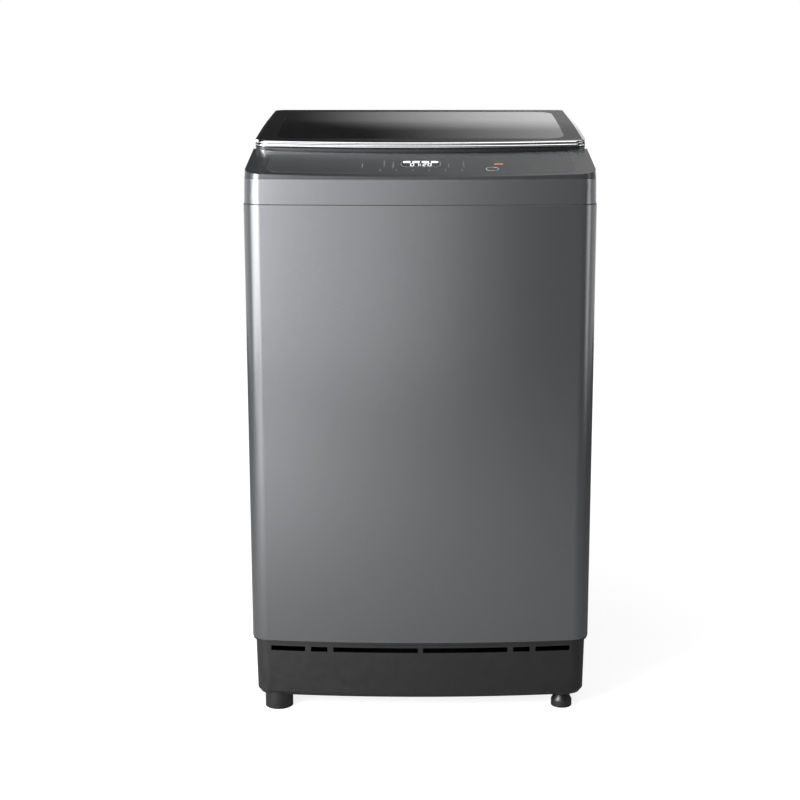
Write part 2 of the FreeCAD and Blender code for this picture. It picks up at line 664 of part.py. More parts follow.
def lid():
    whole = common(lid_plan("0", "lid_front", "lid_back"),
                   side_prism(lid_profile("lid_front - 30", "lid_back + 30", "0")))
    trim_layer = side_prism(lid_profile("lid_front - 40", "lid_back + 40", "-10", "trim_depth"))
    front_zone = common(bow_prism("half_width + 30", "lid_front - 5", "glass_front + 3 * front_bow"),
                        trim_layer)
    front_body = bow_prism("half_width + 30", "glass_front - fit_gap", "machine_depth")
    front_strip = cut(front_zone, front_body)
    opening = box("-half_width + 70", "front_y + lid_front + 42", "seam_z", "half_width - 70",
                  "front_y + lid_back - 52", "block_top_z + 20")
    side_layer = common(cut(bow_prism("half_width + 30", "glass_front - fit_gap", "glass_back + fit_gap"),
                            lid_plan("side_trim", "0", "machine_depth - 20")),
                        side_prism(lid_profile("lid_front - 40", "lid_back + 40", "-10", "glass_wall")))
    rear_layer = common(box("-half_width - 30", "front_y + glass_back + fit_gap", "seam_z", "half_width + 30",
                            "front_y + lid_back + 30", "block_top_z + 20"),
                        side_prism(lid_profile("lid_front - 40", "lid_back + 40", "-10", "2.5")))
    notches = [box(x, "hinge_y - 14", "seam_z", f"{x} + ear_width + damper_length + 5",
                   "hinge_y + 40", "hinge_z + ear_radius + 0.8")
               for x in ("hinge_right_x - 1.5", "-hinge_right_x - ear_width - damper_length - 3.5")]
    pin_ways = [rod(x, "hinge_y", "hinge_z", "pin_radius", "pin_length + damper_length", "x")
                for x in ("hinge_right_x - 10", "-hinge_right_x - pin_length - damper_length + 10")]
    node("lid_frame", cut(whole, front_strip, opening, side_layer, rear_layer,
                          glass_layer("fit_gap", "-10", "glass_wall + fit_gap"), *notches, *pin_ways))
    node("lid_glass", glass_layer("0", "0", "glass_wall"))
    node("lid_front_trim", common(whole, front_strip))
    node("lid_side_trims", common(whole, side_layer))
    node("lid_rear_trim", common(whole, rear_layer))
    pin_starts = ("hinge_right_x - 10", "-hinge_right_x - pin_length - damper_length + 10")
    group("lid_hinge_pins", [rod(x, "hinge_y", "hinge_z", "pin_radius", "pin_length + damper_length", "x")
                             for x in pin_starts])
    dampers = []
    for x in ("hinge_right_x + ear_width", "-hinge_right_x - ear_width - damper_length"):
        way = rod(f"{x} - 1", "hinge_y", "hinge_z", "pin_radius + shaft_gap", "damper_length + 2", "x")
        dampers.append(cut(hinge_ear(x, "damper_length", "ear_radius"), way))
    seat = side_prism([("0", "seam_z"), ("machine_depth", "seam_z"),
                       ("machine_depth", seat_line("machine_depth", "seat_gap")),
                       ("0", seat_line("0", "seat_gap"))])
    node("lid_dampers", cut(fuse(*dampers), seat))
    bumpers = [rod(x, "front_y + lid_front + 28", seat_line("lid_front + 28", "seat_gap + 2"),
                   "bumper_radius", "seat_gap + 4") for x in ("-half_width + 45", "half_width - 45")]
    gap = side_prism([("0", seat_line("0", "seat_gap")), ("machine_depth",
                                                          seat_line("machine_depth", "seat_gap")),
                      ("machine_depth", seat_line("machine_depth", "0.2")), ("0", seat_line("0", "0.2"))])
    node("lid_bumpers", common(fuse(*bumpers), gap))


# ---- detergent drawer and water inlet ----

def drawer_and_inlet():
    inner = ("drawer_half + housing_gap", "drawer_bottom_z - housing_gap",
             "drawer_bottom_z + drawer_height + housing_gap")
    back = "drawer_face_y + drawer_length + 8"
    outer = box(f"-({inner[0]}) - housing_wall", "housing_front_y", f"{inner[1]} - housing_wall",
                f"{inner[0]} + housing_wall", f"{back} + housing_wall", f"{inner[2]} + housing_wall")
    hollow = box(f"-({inner[0]})", "housing_front_y - 5", inner[1], inner[0], back, inner[2])
    runners = [box(x, "housing_front_y", inner[1], f"{x} + 8", back, "drawer_bottom_z - run_gap")
               for x in ("-drawer_half + 10", "drawer_half - 18")]
    water_way = rod("valve_x", f"{back} - 5", "valve_bottom_z + 12", "spout_radius - 2", "30", "y")
    node("drawer_housing", cut(fuse(cut(outer, hollow), *runners), water_way))
    wall = "drawer_wall"
    tray = box("-drawer_half", "drawer_face_y + 1", "drawer_bottom_z", "drawer_half",
               "drawer_face_y + drawer_length", "drawer_bottom_z + drawer_height")
    well_spans = (("-drawer_half", "drawer_half / 3"),
                  ("drawer_half / 3 - drawer_wall / 2", "drawer_half - drawer_wall / 2"))
    wells = [box(f"{x} + {wall}", f"drawer_face_y + 1 + {wall}", f"drawer_bottom_z + {wall}",
                 f"{end} - {wall} / 2",
                 f"drawer_face_y + drawer_length - {wall}", "drawer_bottom_z + drawer_height + 5")
             for x, end in well_spans]
    grip = rod("-30", "drawer_face_y + 1", "drawer_bottom_z + drawer_height", "9", "60", "x")
    node("detergent_drawer", cut(tray, *wells, grip))
    valve_back = "rear_y - cover_wall"
    body = box("valve_x - valve_width / 2", f"{valve_back} - valve_depth", "valve_bottom_z",
               "valve_x + valve_width / 2", valve_back, "valve_bottom_z + valve_height")
    nozzle = rod("valve_x", f"{valve_back} - 2", "nozzle_z", "nozzle_radius",
                 "cover_wall + rear_reach + 2", "y")
    spout = rod("valve_x", f"{back} + housing_wall", "valve_bottom_z + 12", "spout_radius",
                f"{valve_back} - valve_depth - ({back}) - housing_wall + 2", "y")
    bore = rod("valve_x", "rear_y - 10", "nozzle_z", "nozzle_bore", "rear_reach + 20", "y")
    node("inlet_valve", cut(fuse(body, nozzle, spout), bore))


# ---- base and feet ----

def foot_spots():
    return [("-foot_x", "front_y + foot_front"), ("foot_x", "front_y + foot_front"),
            ("-foot_x", "foot_rear_y"), ("foot_x", "foot_rear_y")]


def base_skirt():
    def ring(low, high, low_inset, high_inset):
        return outline_block([(low, low_inset, low_inset), (high, high_inset, high_inset)])
    rounded_foot = "base_foot_inset + base_round_in"
    outer = outline_block([("base_bottom_z", rounded_foot, rounded_foot),
                           ("base_bottom_z + base_round_up", "base_foot_inset", "base_foot_inset"),
                           ("cabinet_bottom_z", "base_top_inset", "base_top_inset")])
    inner = ring("base_bottom_z - 1", "cabinet_bottom_z + 1", "base_foot_inset + base_wall",
                 "base_top_inset + base_wall")
    low = box("-half_width", "front_y", "base_bottom_z", "half_width", "rear_y",
              "base_bottom_z + base_foot_wall")
    foot_plate = cut(common(outer, low), ring("base_bottom_z - 1", "base_bottom_z + base_foot_wall + 1",
                                              "base_foot_inset + base_flange",
                                              "base_foot_inset + base_flange"))
    lip = cut(ring("cabinet_bottom_z - base_wall", "cabinet_bottom_z", "sheet + fit_gap", "sheet + fit_gap"),
              ring("cabinet_bottom_z - base_wall - 1", "cabinet_bottom_z + 1", "base_top_inset + base_wall",
                   "base_top_inset + base_wall"))
    upstand = cut(ring("cabinet_bottom_z - 1", "cabinet_bottom_z + upstand", "sheet + fit_gap",
                       "sheet + fit_gap"),
                  ring("cabinet_bottom_z - 2", "cabinet_bottom_z + upstand + 1",
                       "sheet + fit_gap + base_wall",
                       "sheet + fit_gap + base_wall"))
    bosses = [rod(x, y, "base_bottom_z", "boss_radius", "boss_height") for x, y in foot_spots()]
    skirt = fuse(cut(outer, inner), foot_plate, lip, upstand, *bosses)
    vents = []
    for near, far in (("4.5", "152"), ("162", "191"), ("201", "half_width - corner_radius")):
        for x0, x1 in ((near, far), (f"-({far})", f"-({near})")):
            vents.append(box(x0, "front_y - 10", "vent_bottom_z", x1, "front_y + 45",
                             "vent_bottom_z + vent_height"))
    stem_way = rod("foot_x", "front_y + foot_front", "base_bottom_z - 1", "stem_radius + shaft_gap",
                   "boss_height - 3")
    outlet_way = rod("outlet_x", "rear_y - 40", "outlet_z", "outlet_radius", "60", "y")
    node("base_skirt", cut(skirt, *vents, stem_way, outlet_way))


def base_tray():
    edge = "base_foot_inset + base_wall + 2"
    plate = outline_block([("base_bottom_z + base_foot_wall", edge, edge),
                           ("base_bottom_z + base_foot_wall + tray_plate", edge, edge)])
    corners = [rod(x, y, "base_bottom_z", "boss_radius + 1", "30") for x, y in foot_spots()]
    node("base_tray", cut(plate, *corners))


def feet():
    spots = foot_spots()
    plain = [spots[0], spots[2], spots[3]]
    group("fixed_feet", [rod(x, y, "0", "fixed_foot_radius", "base_bottom_z") for x, y in plain])
    top = "base_bottom_z - nut_height - run_gap"
    foot = turned("levelling_foot", [
        ("0", "0"), ("level_pad_radius", "0"), ("level_pad_radius", "level_pad_height"),
        ("level_neck_radius", top), ("stem_radius", top), ("stem_radius", f"{top} + stem_length"),
        ("0", f"{top} + stem_length")], "front_y + foot_front", "foot_x")
    node("levelling_foot", foot)
    nut = doc.addObject("Part::Prism", "nut")
    nut.Polygon = 6
    bind(nut, Circumradius="nut_across / 2 / cos(30)", Height="nut_height", Placement__Base__x="foot_x",
         Placement__Base__y="front_y + foot_front", Placement__Base__z="base_bottom_z - nut_height")
    way = rod("foot_x", "front_y + foot_front", "base_bottom_z - nut_height - 1",
              "stem_radius + shaft_gap", "nut_height + 2")
    node("foot_lock_nut", cut(nut, way))


def outlet_and_gland():
    pipe = rod("outlet_x", "rear_y - 30", "outlet_z", "outlet_radius", "rear_reach + 30", "y")
    collar = rod("outlet_x", "rear_y - base_top_inset", "outlet_z", "outlet_radius + 6", "3", "y")
    bore = rod("outlet_x", "rear_y - 40", "outlet_z", "outlet_bore", "rear_reach + 50", "y")
    node("drain_outlet", cut(fuse(pipe, collar), bore))
    flange = rod("gland_x", "rear_y + panel_emboss", "gland_z", "gland_radius", "4", "y")
    neck = rod("gland_x", "rear_y + panel_emboss - sheet - 6", "gland_z", "gland_radius - 3.2", "8", "y")
    hole = rod("gland_x", "rear_y - 20", "gland_z", "gland_bore", "60", "y")
    node("mains_lead_gland", cut(fuse(flange, neck), hole))


# ---- suspension ----

def corner_signs():
    return [(sx, sy) for sx in (-1, 1) for sy in (-1, 1)]


def suspension():
    brackets, seats, rods, sleeves, springs = [], [], [], [], []
    for sx, sy in corner_signs():
        x, y = f"{sx} * rod_x", f"tub_centre_y + {sy} * rod_y"
        wall = "half_width - sheet"
        ends = (f"{wall} - bracket_reach", wall) if sx > 0 else (f"-({wall})", f"-({wall}) + bracket_reach")
        plate = box(ends[0], f"{y} - bracket_width / 2", "bracket_z", ends[1], f"{y} + bracket_width / 2",
                    "bracket_z + bracket_plate")
        lip_ends = (f"{wall} - bracket_plate", wall) if sx > 0 else (f"-({wall})",
                                                                     f"-({wall}) + bracket_plate")
        lip = box(lip_ends[0], f"{y} - bracket_width / 2", "bracket_z - bracket_lip", lip_ends[1],
                  f"{y} + bracket_width / 2", "bracket_z + bracket_plate")
        brackets.append(cut(fuse(plate, lip), rod(x, y, "bracket_z - 5", "rod_radius + 2", "20")))
        seat = rod(x, y, "bracket_z + bracket_plate", "seat_radius", "rod_top_z - bracket_z - bracket_plate")
        seats.append(cut(seat, rod(x, y, "bracket_z", "rod_radius", "40")))
        rods.append(fuse(rod(x, y, "rod_bottom_z", "rod_radius", "rod_top_z - rod_bottom_z + 3"),
                         rod(x, y, "rod_top_z", "rod_radius + 3.5", "3"),
                         rod(x, y, "rod_bottom_z", "spring_radius + 1", "4")))
        sleeve = rod(x, y, "lug_z - sleeve_height", "sleeve_radius", "sleeve_height")
        sleeves.append(cut(sleeve, rod(x, y, "lug_z - sleeve_height - 5", "rod_radius + run_gap", "40")))
        coil = rod(x, y, "spring_bottom_z", "spring_radius", "spring_top_z - spring_bottom_z")
        springs.append(cut(coil, rod(x, y, "spring_bottom_z - 5", "spring_inner", "200")))
    group("suspension_brackets", brackets)
    group("rod_ball_seats", seats)
    group("suspension_rods", rods)
    group("suspension_sleeves", sleeves)
    group("suspension_springs", springs)


# ---- tub ----

def tub():
    wall = turned("tub_wall_part", [
        ("tub_hub_radius", "tub_floor_z"), ("tub_radius + tub_wall", "tub_floor_z"),
        ("tub_radius + tub_wall", "tub_top_z"), ("tub_radius", "tub_top_z"),
        ("tub_radius", "tub_floor_z + tub_floor"), ("tub_hub_radius", "tub_floor_z + tub_floor")])
    lugs, holes = [], []
    for sx, sy in corner_signs():
        x, y = f"{sx} * rod_x", f"tub_centre_y + {sy} * rod_y"
        arm = doc.addObject("Part::Box", "arm")
        turn = FreeCAD.Rotation(V(0, 0, 1), math.degrees(math.atan2(sy * value("rod_y"),
                                                                    sx * value("rod_x"))))
        side = turn.multVec(V(0, -value("lug_width") / 2, 0)) + turn.multVec(V(value("tub_radius + 1"), 0, 0))
        arm.Placement = FreeCAD.Placement(side + V(0, value("tub_centre_y"), value("lug_z")), turn)
        bind(arm, Length="sqrt(rod_x^2 + rod_y^2) + lug_end - tub_radius - 1", Width="lug_width",
             Height="lug_height")
        lugs.append(arm)
        holes.append(rod(x, y, "lug_z - 5", "lug_hole", "lug_height + 10"))
    node("outer_tub", cut(fuse(wall, *lugs), *holes))
    node("tub_ring", turned("tub_ring", [
        ("tub_radius - 2", "tub_top_z"), ("tub_radius + tub_wall + 3", "tub_top_z"),
        ("tub_radius + tub_wall + 3", "tub_top_z + tub_ring_height"),
        ("tub_ring_inner", "tub_top_z + tub_ring_height"),
        ("tub_ring_inner", "tub_top_z + tub_ring_height - 3"),
        ("tub_radius - 2", "tub_top_z + tub_ring_height - 3")]))


def basket():
    top = "basket_top_z"
    wall = turned("wash_basket", [
        ("basket_radius", "basket_floor_z + 4"), ("basket_radius + basket_wall", "basket_floor_z + 4"),
        ("basket_radius + basket_wall", top), ("basket_radius", top)])
    node("wash_basket", wall)
    base = turned("basket_base", [
        ("20", "basket_floor_z"), ("basket_radius - 1", "basket_floor_z"),
        ("basket_radius - 1", "basket_floor_z + basket_base_height"),
        ("basket_radius - 6", "basket_floor_z + basket_base_height"),
        ("pulsator_radius + 14", "basket_floor_z + 6"), ("20", "basket_floor_z + 6")])
    drain = circle(new_sketch(base, "XY_Plane", "basket_floor_z - 1"), "120", "0", "9")
    polar(base, pocket(base, drain, "12"), "12")
    lip = rectangle(new_sketch(base, "XY_Plane", "basket_floor_z + 6"), "130", "-4",
                    "pulsator_radius + 10", "4")
    polar(base, pad(base, lip, "6"), "12")
    node("basket_base", base)
    node("balance_ring", turned("balance_ring", [
        ("basket_radius - 2", f"{top} - ring_skirt"), ("basket_radius", f"{top} - ring_skirt"),
        ("basket_radius", top), ("basket_radius + basket_wall", top),
        ("basket_radius + basket_wall", f"{top} + ring_height - 6"),
        ("basket_radius - 5", f"{top} + ring_height"), ("ring_inner + 8", f"{top} + ring_height", "5"),
        ("ring_inner", f"{top} + ring_height - 10", "3"), ("ring_inner + 4", f"{top} + 2"),
        ("basket_radius - 2", top)]))
    filters = []
    for side in (-1, 1):
        near = "sqrt(basket_radius^2 - filter_width^2 / 4) - 0.5"
        x0, x1 = (f"{near} - filter_depth", near) if side > 0 else (f"-({near})", f"-({near}) + filter_depth")
        filters.append(box(x0, "tub_centre_y - filter_width / 2", "filter_z", x1,
                           "tub_centre_y + filter_width / 2", "filter_z + filter_height"))
    group("lint_filters", filters)


def pulsator():
    plate_top = "pulsator_z + pulsator_plate"
    body = turned("pulsator", [
        ("wash_shaft_radius", "pulsator_z - 14"), ("wash_shaft_radius + 9", "pulsator_z - 14"),
        ("wash_shaft_radius + 9", "pulsator_z"), ("pulsator_radius - 6", "pulsator_z"),
        ("pulsator_radius", "pulsator_z + 6"), ("pulsator_radius", f"{plate_top} + 6"),
        ("pulsator_radius - 8", plate_top), ("pulsator_hub + 24", plate_top),
        ("pulsator_hub", f"{plate_top} + 18", "14"), ("cap_radius", f"{plate_top} + 22"),
        ("cap_radius", f"{plate_top} + 8"), ("wash_shaft_radius", f"{plate_top} + 8")])
    vane = new_sketch(body, "XZ_Plane", "0")
    polygon(vane, [("pulsator_hub - 6", f"{plate_top} - 2"), ("pulsator_radius - 14", f"{plate_top} - 2"),
                   ("pulsator_radius - 22", f"{plate_top} + vane_height / 2", "8"),
                   ("pulsator_hub + 20", f"{plate_top} + vane_height", "20"),
                   ("pulsator_hub - 6", f"{plate_top} + 14")])
    polar(body, pad(body, vane, "vane_width", both_ways=True), "vane_count")
    node("pulsator", body)
    node("pulsator_cap", turned("pulsator_cap", [
        ("0", f"{plate_top} + 8"), ("cap_radius - fit_gap", f"{plate_top} + 8"),
        ("cap_radius - fit_gap", f"{plate_top} + 8 + cap_height"),
        ("cap_radius - 6", f"{plate_top} + 12 + cap_height"),
        ("0", f"{plate_top} + 13 + cap_height")]))


# ---- drive ----

def drive():
    plate = cut(box("plate_left", "tub_centre_y - plate_half", "drive_top_z", "plate_right",
                    "tub_centre_y + plate_half", "tub_floor_z"),
                rod("0", "tub_centre_y", "drive_top_z - 5", "tub_hub_radius", "20"))
    node("tub_support_plate", plate)
    under = "drive_top_z - flange_wall"
    node("drive_housing", turned("drive_housing", [
        ("bearing_radius", "housing_bottom_z"), ("housing_radius", "housing_bottom_z"),
        ("housing_radius", under), ("flange_radius", under), ("flange_radius", "drive_top_z"),
        ("bearing_radius", "drive_top_z")]))
    shaft_hole = "spin_shaft_radius + shaft_gap"
    lower = [("bearing_radius", "housing_bottom_z + 2"), (shaft_hole, "housing_bottom_z + 2"),
             (shaft_hole, "housing_bottom_z + 2 + bearing_width"),
             ("bearing_radius", "housing_bottom_z + 2 + bearing_width")]
    upper = [("bearing_radius", "drive_top_z - 2 - bearing_width"),
             (shaft_hole, "drive_top_z - 2 - bearing_width"),
             (shaft_hole, "drive_top_z - 2"), ("bearing_radius", "drive_top_z - 2")]
    group("shaft_bearings", [turned("lower_bearing", lower), turned("upper_bearing", upper)])
    node("shaft_seal", turned("shaft_seal", [
        (shaft_hole, "drive_top_z"), ("tub_hub_radius", "drive_top_z"),
        ("tub_hub_radius", "tub_floor_z + tub_floor + 5"), (shaft_hole, "tub_floor_z + tub_floor + 9")]))
    bore = "wash_shaft_radius + shaft_gap"
    node("spin_shaft", turned("spin_shaft", [
        (bore, "spin_shaft_bottom_z"), ("spin_shaft_radius", "spin_shaft_bottom_z"),
        ("spin_shaft_radius", "basket_floor_z - 4"), ("hub_flange_radius", "basket_floor_z - 4"),
        ("hub_flange_radius", "basket_floor_z"), (bore, "basket_floor_z")]))
    shaft_top = "pulsator_z + pulsator_plate + 8"
    node("wash_shaft", turned("wash_shaft", [
        ("0", "wash_shaft_bottom_z"), ("wash_shaft_radius", "wash_shaft_bottom_z"),
        ("wash_shaft_radius", shaft_top), ("0", shaft_top)]))


def pulleys():
    def pulley(name, radius, bore_shape, x):
        lip = f"{radius} + pulley_lip"
        low, high = "pulley_z", "pulley_z + pulley_height"
        rim = [(lip, low), (lip, f"{low} + pulley_lip_height - 1"), (radius, f"{low} + pulley_lip_height"),
               (radius, f"{high} - pulley_lip_height"), (lip, f"{high} - pulley_lip_height + 1"), (lip, high)]
        return turned(name, rim + bore_shape, x=x)
    high = "pulley_z + pulley_height"
    clutch = pulley("clutch_pulley", "clutch_pulley_radius", [
        ("wash_shaft_radius", high), ("wash_shaft_radius", "wash_shaft_bottom_z - 2"),
        ("0", "wash_shaft_bottom_z - 2"), ("0", "pulley_z - 8"), ("16", "pulley_z - 8"),
        ("16", "pulley_z")], "0")
    node("clutch_pulley", clutch)
    shaft_top = "drive_top_z - motor_height + 12"
    motor = pulley("motor_pulley", "motor_pulley_radius", [
        ("motor_shaft_radius", high), ("motor_shaft_radius", shaft_top), ("0", shaft_top),
        ("0", "pulley_z")], "motor_x")
    node("motor_pulley", motor)
    bottom = "drive_top_z - motor_height"
    shell = turned("drive_motor", [
        ("motor_shaft_radius + shaft_gap", bottom), ("motor_radius - 14", bottom),
        ("motor_radius", f"{bottom} + 10", "8"),
        ("motor_radius", "drive_top_z - 12", "6"), ("motor_radius - 12", "drive_top_z"),
        ("0", "drive_top_z"), ("0", f"{bottom} + 13"), ("motor_shaft_radius + shaft_gap", f"{bottom} + 13")],
        x="motor_x")
    node("drive_motor", shell)


def belt_loop(sketch, near_radius, far_radius):
    """An open belt's path: two arcs and the two tangent runs between them."""
    reach = value("motor_x")
    big, small = value(near_radius), value(far_radius)
    lean = math.asin((big - small) / reach)
    up = V(0, 0, 1)
    a = math.pi / 2 - lean
    spot = lambda x, r, t: V(x + r * math.cos(t), r * math.sin(t), 0)
    sketch.addGeometry(Part.ArcOfCircle(Part.Circle(V(0, 0, 0), up, big), a, 2 * math.pi - a), False)
    sketch.addGeometry(Part.LineSegment(spot(0, big, -a), spot(reach, small, -a)), False)
    sketch.addGeometry(Part.ArcOfCircle(Part.Circle(V(reach, 0, 0), up, small), -a, a), False)
    sketch.addGeometry(Part.LineSegment(spot(reach, small, a), spot(0, big, a)), False)
    for first, second in ((0, 1), (1, 2), (2, 3), (3, 0)):
        hold(sketch, "Tangent", first, 2, second, 1)
    hold(sketch, "Coincident", 0, 3, -1, 1)
    pin_point(sketch, 2, 3, "motor_x", "0")
    hold(sketch, "Radius", 0, size=near_radius)
    hold(sketch, "Radius", 2, size=far_radius)
    return sketch


def drive_belt():
    body = new_body("drive_belt", "tub_centre_y")
    outer = ("clutch_pulley_radius + run_gap + belt_wall", "motor_pulley_radius + run_gap + belt_wall")
    inner = ("clutch_pulley_radius + run_gap", "motor_pulley_radius + run_gap")
    pad(body, belt_loop(new_sketch(body, "XY_Plane", "belt_bottom_z"), *outer), "belt_height")
    pocket(body, belt_loop(new_sketch(body, "XY_Plane", "belt_bottom_z"), *inner), "belt_height")
    node("drive_belt", body)


# ---- drain ----

def drain():
    centre = ("drain_x", "tub_centre_y + drain_y")
    chamber = rod(*centre, "drain_floor_z", "drain_radius", "drain_height")
    pipe = rod(f"{centre[0]} - hose_start", centre[1], "hose_z", "hose_radius", "hose_start", "x")
    bore = rod(f"{centre[0]} - hose_start - 1", centre[1], "hose_z", "hose_bore", "hose_start", "x")
    node("drain_valve", cut(fuse(chamber, pipe), bore))
    node("drain_actuator", box("drain_x + drain_radius + 30", "tub_centre_y + drain_y - 8",
                               "lever_z + lever_wall + 2",
                               "drain_x + drain_radius + 90", "tub_centre_y + drain_y + 34", "tub_floor_z"))
    lever_x = "0"
    pivot_y = "tub_centre_y + lever_y"
    pin = rod(lever_x, pivot_y, "lever_z - 4", "lever_pin_radius", "tub_floor_z - lever_z + 4")
    washer = rod(lever_x, pivot_y, "lever_z - 4", "lever_pin_radius + 4", "3")
    node("brake_lever_pin", fuse(pin, washer))
    bar = box(f"{lever_x} - lever_width / 2", f"{pivot_y} - lever_front", "lever_z - run_gap",
              f"{lever_x} + lever_width / 2", f"{pivot_y} + lever_back", "lever_z - run_gap + lever_wall")
    way = rod(lever_x, pivot_y, "lever_z - 10", "lever_pin_radius + shaft_gap", "30")
    node("brake_lever", cut(bar, way))


def drain_hose():
    """Down from the drain valve and back to the outlet: straight runs joined by quarter bends."""
    y0 = value("tub_centre_y + drain_y")
    x0, x1 = value("drain_x - hose_start"), value("outlet_x")
    z0, z1 = value("hose_z"), value("outlet_z")
    end_y, bend = value("rear_y - 30"), value("hose_bend")
    short = bend * math.sqrt(0.5)
    start, drop = V(x0, y0, z0), V(x1, y0, z0)
    first = [V(x1 + bend, y0, z0), V(x1 + bend - short, y0, z0 - bend + short), V(x1, y0, z0 - bend)]
    second = [V(x1, y0, z1 + bend), V(x1, y0 + bend - short, z1 + bend - short), V(x1, y0 + bend, z1)]
    edges = [Part.LineSegment(start, first[0]), Part.Arc(*first), Part.LineSegment(first[2], second[0]),
             Part.Arc(*second), Part.LineSegment(second[2], V(x1, end_y, z1))]
    path = Part.Wire([edge.toShape() for edge in edges])
    rings = []
    for radius in ("hose_radius", "hose_bore"):
        loop = Part.Wire(Part.Circle(start, V(-1, 0, 0), value(radius)).toShape())
        rings.append(path.makePipeShell([loop], True, True))
    hose = doc.addObject("Part::Feature", "drain_hose")
    hose.Shape = rings[0].cut(rings[1])
    hose.Placement = FreeCAD.Placement()
    node("drain_hose", hose)


cabinet_shell()
rear_panel()
rear_access_cover()
screw_heads()
top_cover()
cover_band()
console()
lid()
drawer_and_inlet()
base_skirt()
base_tray()
feet()
outlet_and_gland()
suspension()
tub()
basket()
pulsator()
drive()
pulleys()
drive_belt()
drain()
drain_hose()
doc.recompute()

for thing in doc.Objects:
    if {"Invalid", "Error"} & set(thing.State):
        raise RuntimeError(f"{thing.Name} ({thing.Label}) did not build: {thing.State}")
os.makedirs("parts", exist_ok=True)
for thing in nodes:
    if thing.Shape.isNull() or not thing.Shape.isValid():
        raise RuntimeError(f"{thing.Label} has no sound shape")
for thing in nodes:
    thing.Shape.exportStep(f"parts/{thing.Label}.step")
print(len(nodes), "sub-parts written")
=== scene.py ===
import json
import math

import bmesh
import bpy
from mathutils import Matrix, Vector


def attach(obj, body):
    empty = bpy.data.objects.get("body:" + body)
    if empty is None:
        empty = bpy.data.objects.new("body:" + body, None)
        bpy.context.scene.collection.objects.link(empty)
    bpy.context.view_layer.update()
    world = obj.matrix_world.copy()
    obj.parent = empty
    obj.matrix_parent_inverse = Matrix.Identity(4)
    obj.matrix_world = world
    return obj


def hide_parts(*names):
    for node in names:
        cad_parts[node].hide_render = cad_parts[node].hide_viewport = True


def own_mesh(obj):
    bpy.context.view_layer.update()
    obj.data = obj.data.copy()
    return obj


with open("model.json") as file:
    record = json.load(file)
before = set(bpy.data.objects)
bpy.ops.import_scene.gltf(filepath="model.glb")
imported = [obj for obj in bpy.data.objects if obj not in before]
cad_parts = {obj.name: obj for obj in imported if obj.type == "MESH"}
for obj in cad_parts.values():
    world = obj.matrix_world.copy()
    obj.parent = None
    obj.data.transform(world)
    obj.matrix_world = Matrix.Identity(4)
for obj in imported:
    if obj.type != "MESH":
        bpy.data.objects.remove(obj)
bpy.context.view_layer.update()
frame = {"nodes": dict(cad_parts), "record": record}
print("frame loaded")

mm = 0.001


def linear(hexColour, alpha=1.0):  # sRGB hex to the linear values that nodes take
    parts = [int(hexColour[i:i + 2], 16) / 255 for i in (1, 3, 5)]
    return [p / 12.92 if p <= 0.04045 else ((p + 0.055) / 1.055) ** 2.4 for p in parts] + [alpha]


def addNode(tree, kind, inputs=None, **settings):
    node = tree.nodes.new("ShaderNode" + kind)
    for name, value in settings.items():
        setattr(node, name, value)
    for name, value in (inputs or {}).items():
        if isinstance(value, bpy.types.NodeSocket):
            tree.links.new(value, node.inputs[name])
        else:
            node.inputs[name].default_value = value
    return node


def vertsOf(made):
    return [v for v in made["geom"] if isinstance(v, bmesh.types.BMVert)]


def startMaterial(name, shaderInputs):
    material = bpy.data.materials.new(name)
    material.use_nodes = True
    tree = material.node_tree
    tree.nodes.clear()
    shader = addNode(tree, "BsdfPrincipled", shaderInputs)
    addNode(tree, "OutputMaterial", {"Surface": shader.outputs["BSDF"]})
    place = addNode(tree, "TexCoord").outputs["Object"]
    return material, tree, shader, place


def addGrain(look, size, depth, stretch=(1, 1, 1), detail=2.0):
    # size and depth in mm: the texture that the tool or process left on the surface
    material, tree, shader, place = look
    laid = addNode(tree, "Mapping", {"Vector": place, "Scale": stretch})
    grain = addNode(tree, "TexNoise", {"Vector": laid.outputs["Vector"], "Scale": 1 / (size * mm), "Detail": detail})
    bump = addNode(tree, "Bump", {"Height": grain.outputs["Fac"], "Distance": depth * mm, "Strength": 1.0})
    tree.links.new(bump.outputs["Normal"], shader.inputs["Normal"])


def addTint(look, low, high, size, stretch=(1, 1, 1), detail=3.0, spread=(0.3, 0.7)):
    # a slow drift between two close colours, size in mm
    material, tree, shader, place = look
    laid = addNode(tree, "Mapping", {"Vector": place, "Scale": stretch})
    drift = addNode(tree, "TexNoise", {"Vector": laid.outputs["Vector"], "Scale": 1 / (size * mm), "Detail": detail})
    ramp = addNode(tree, "ValToRGB", {"Fac": drift.outputs["Fac"]})
    ramp.color_ramp.elements[0].position, ramp.color_ramp.elements[1].position = spread
    ramp.color_ramp.elements[0].color = linear(low)
    ramp.color_ramp.elements[1].color = linear(high)
    tree.links.new(ramp.outputs["Color"], shader.inputs["Base Color"])


def addPolish(look, low, high, size, stretch=(1, 1, 1)):
    # roughness that wanders between two values, size in mm
    material, tree, shader, place = look
    laid = addNode(tree, "Mapping", {"Vector": place, "Scale": stretch})
    drift = addNode(tree, "TexNoise", {"Vector": laid.outputs["Vector"], "Scale": 1 / (size * mm), "Detail": 3.0})
    span = addNode(tree, "MapRange", {"Value": drift.outputs["Fac"], "From Min": 0.3, "From Max": 0.7,
                                      "To Min": low, "To Max": high})
    tree.links.new(span.outputs["Result"], shader.inputs["Roughness"])


paintValues = {"low": "#6c6d6f", "high": "#6f7072", "metal": 0.85, "smooth": 0.2, "rough": 0.22, "flake": 3.0}
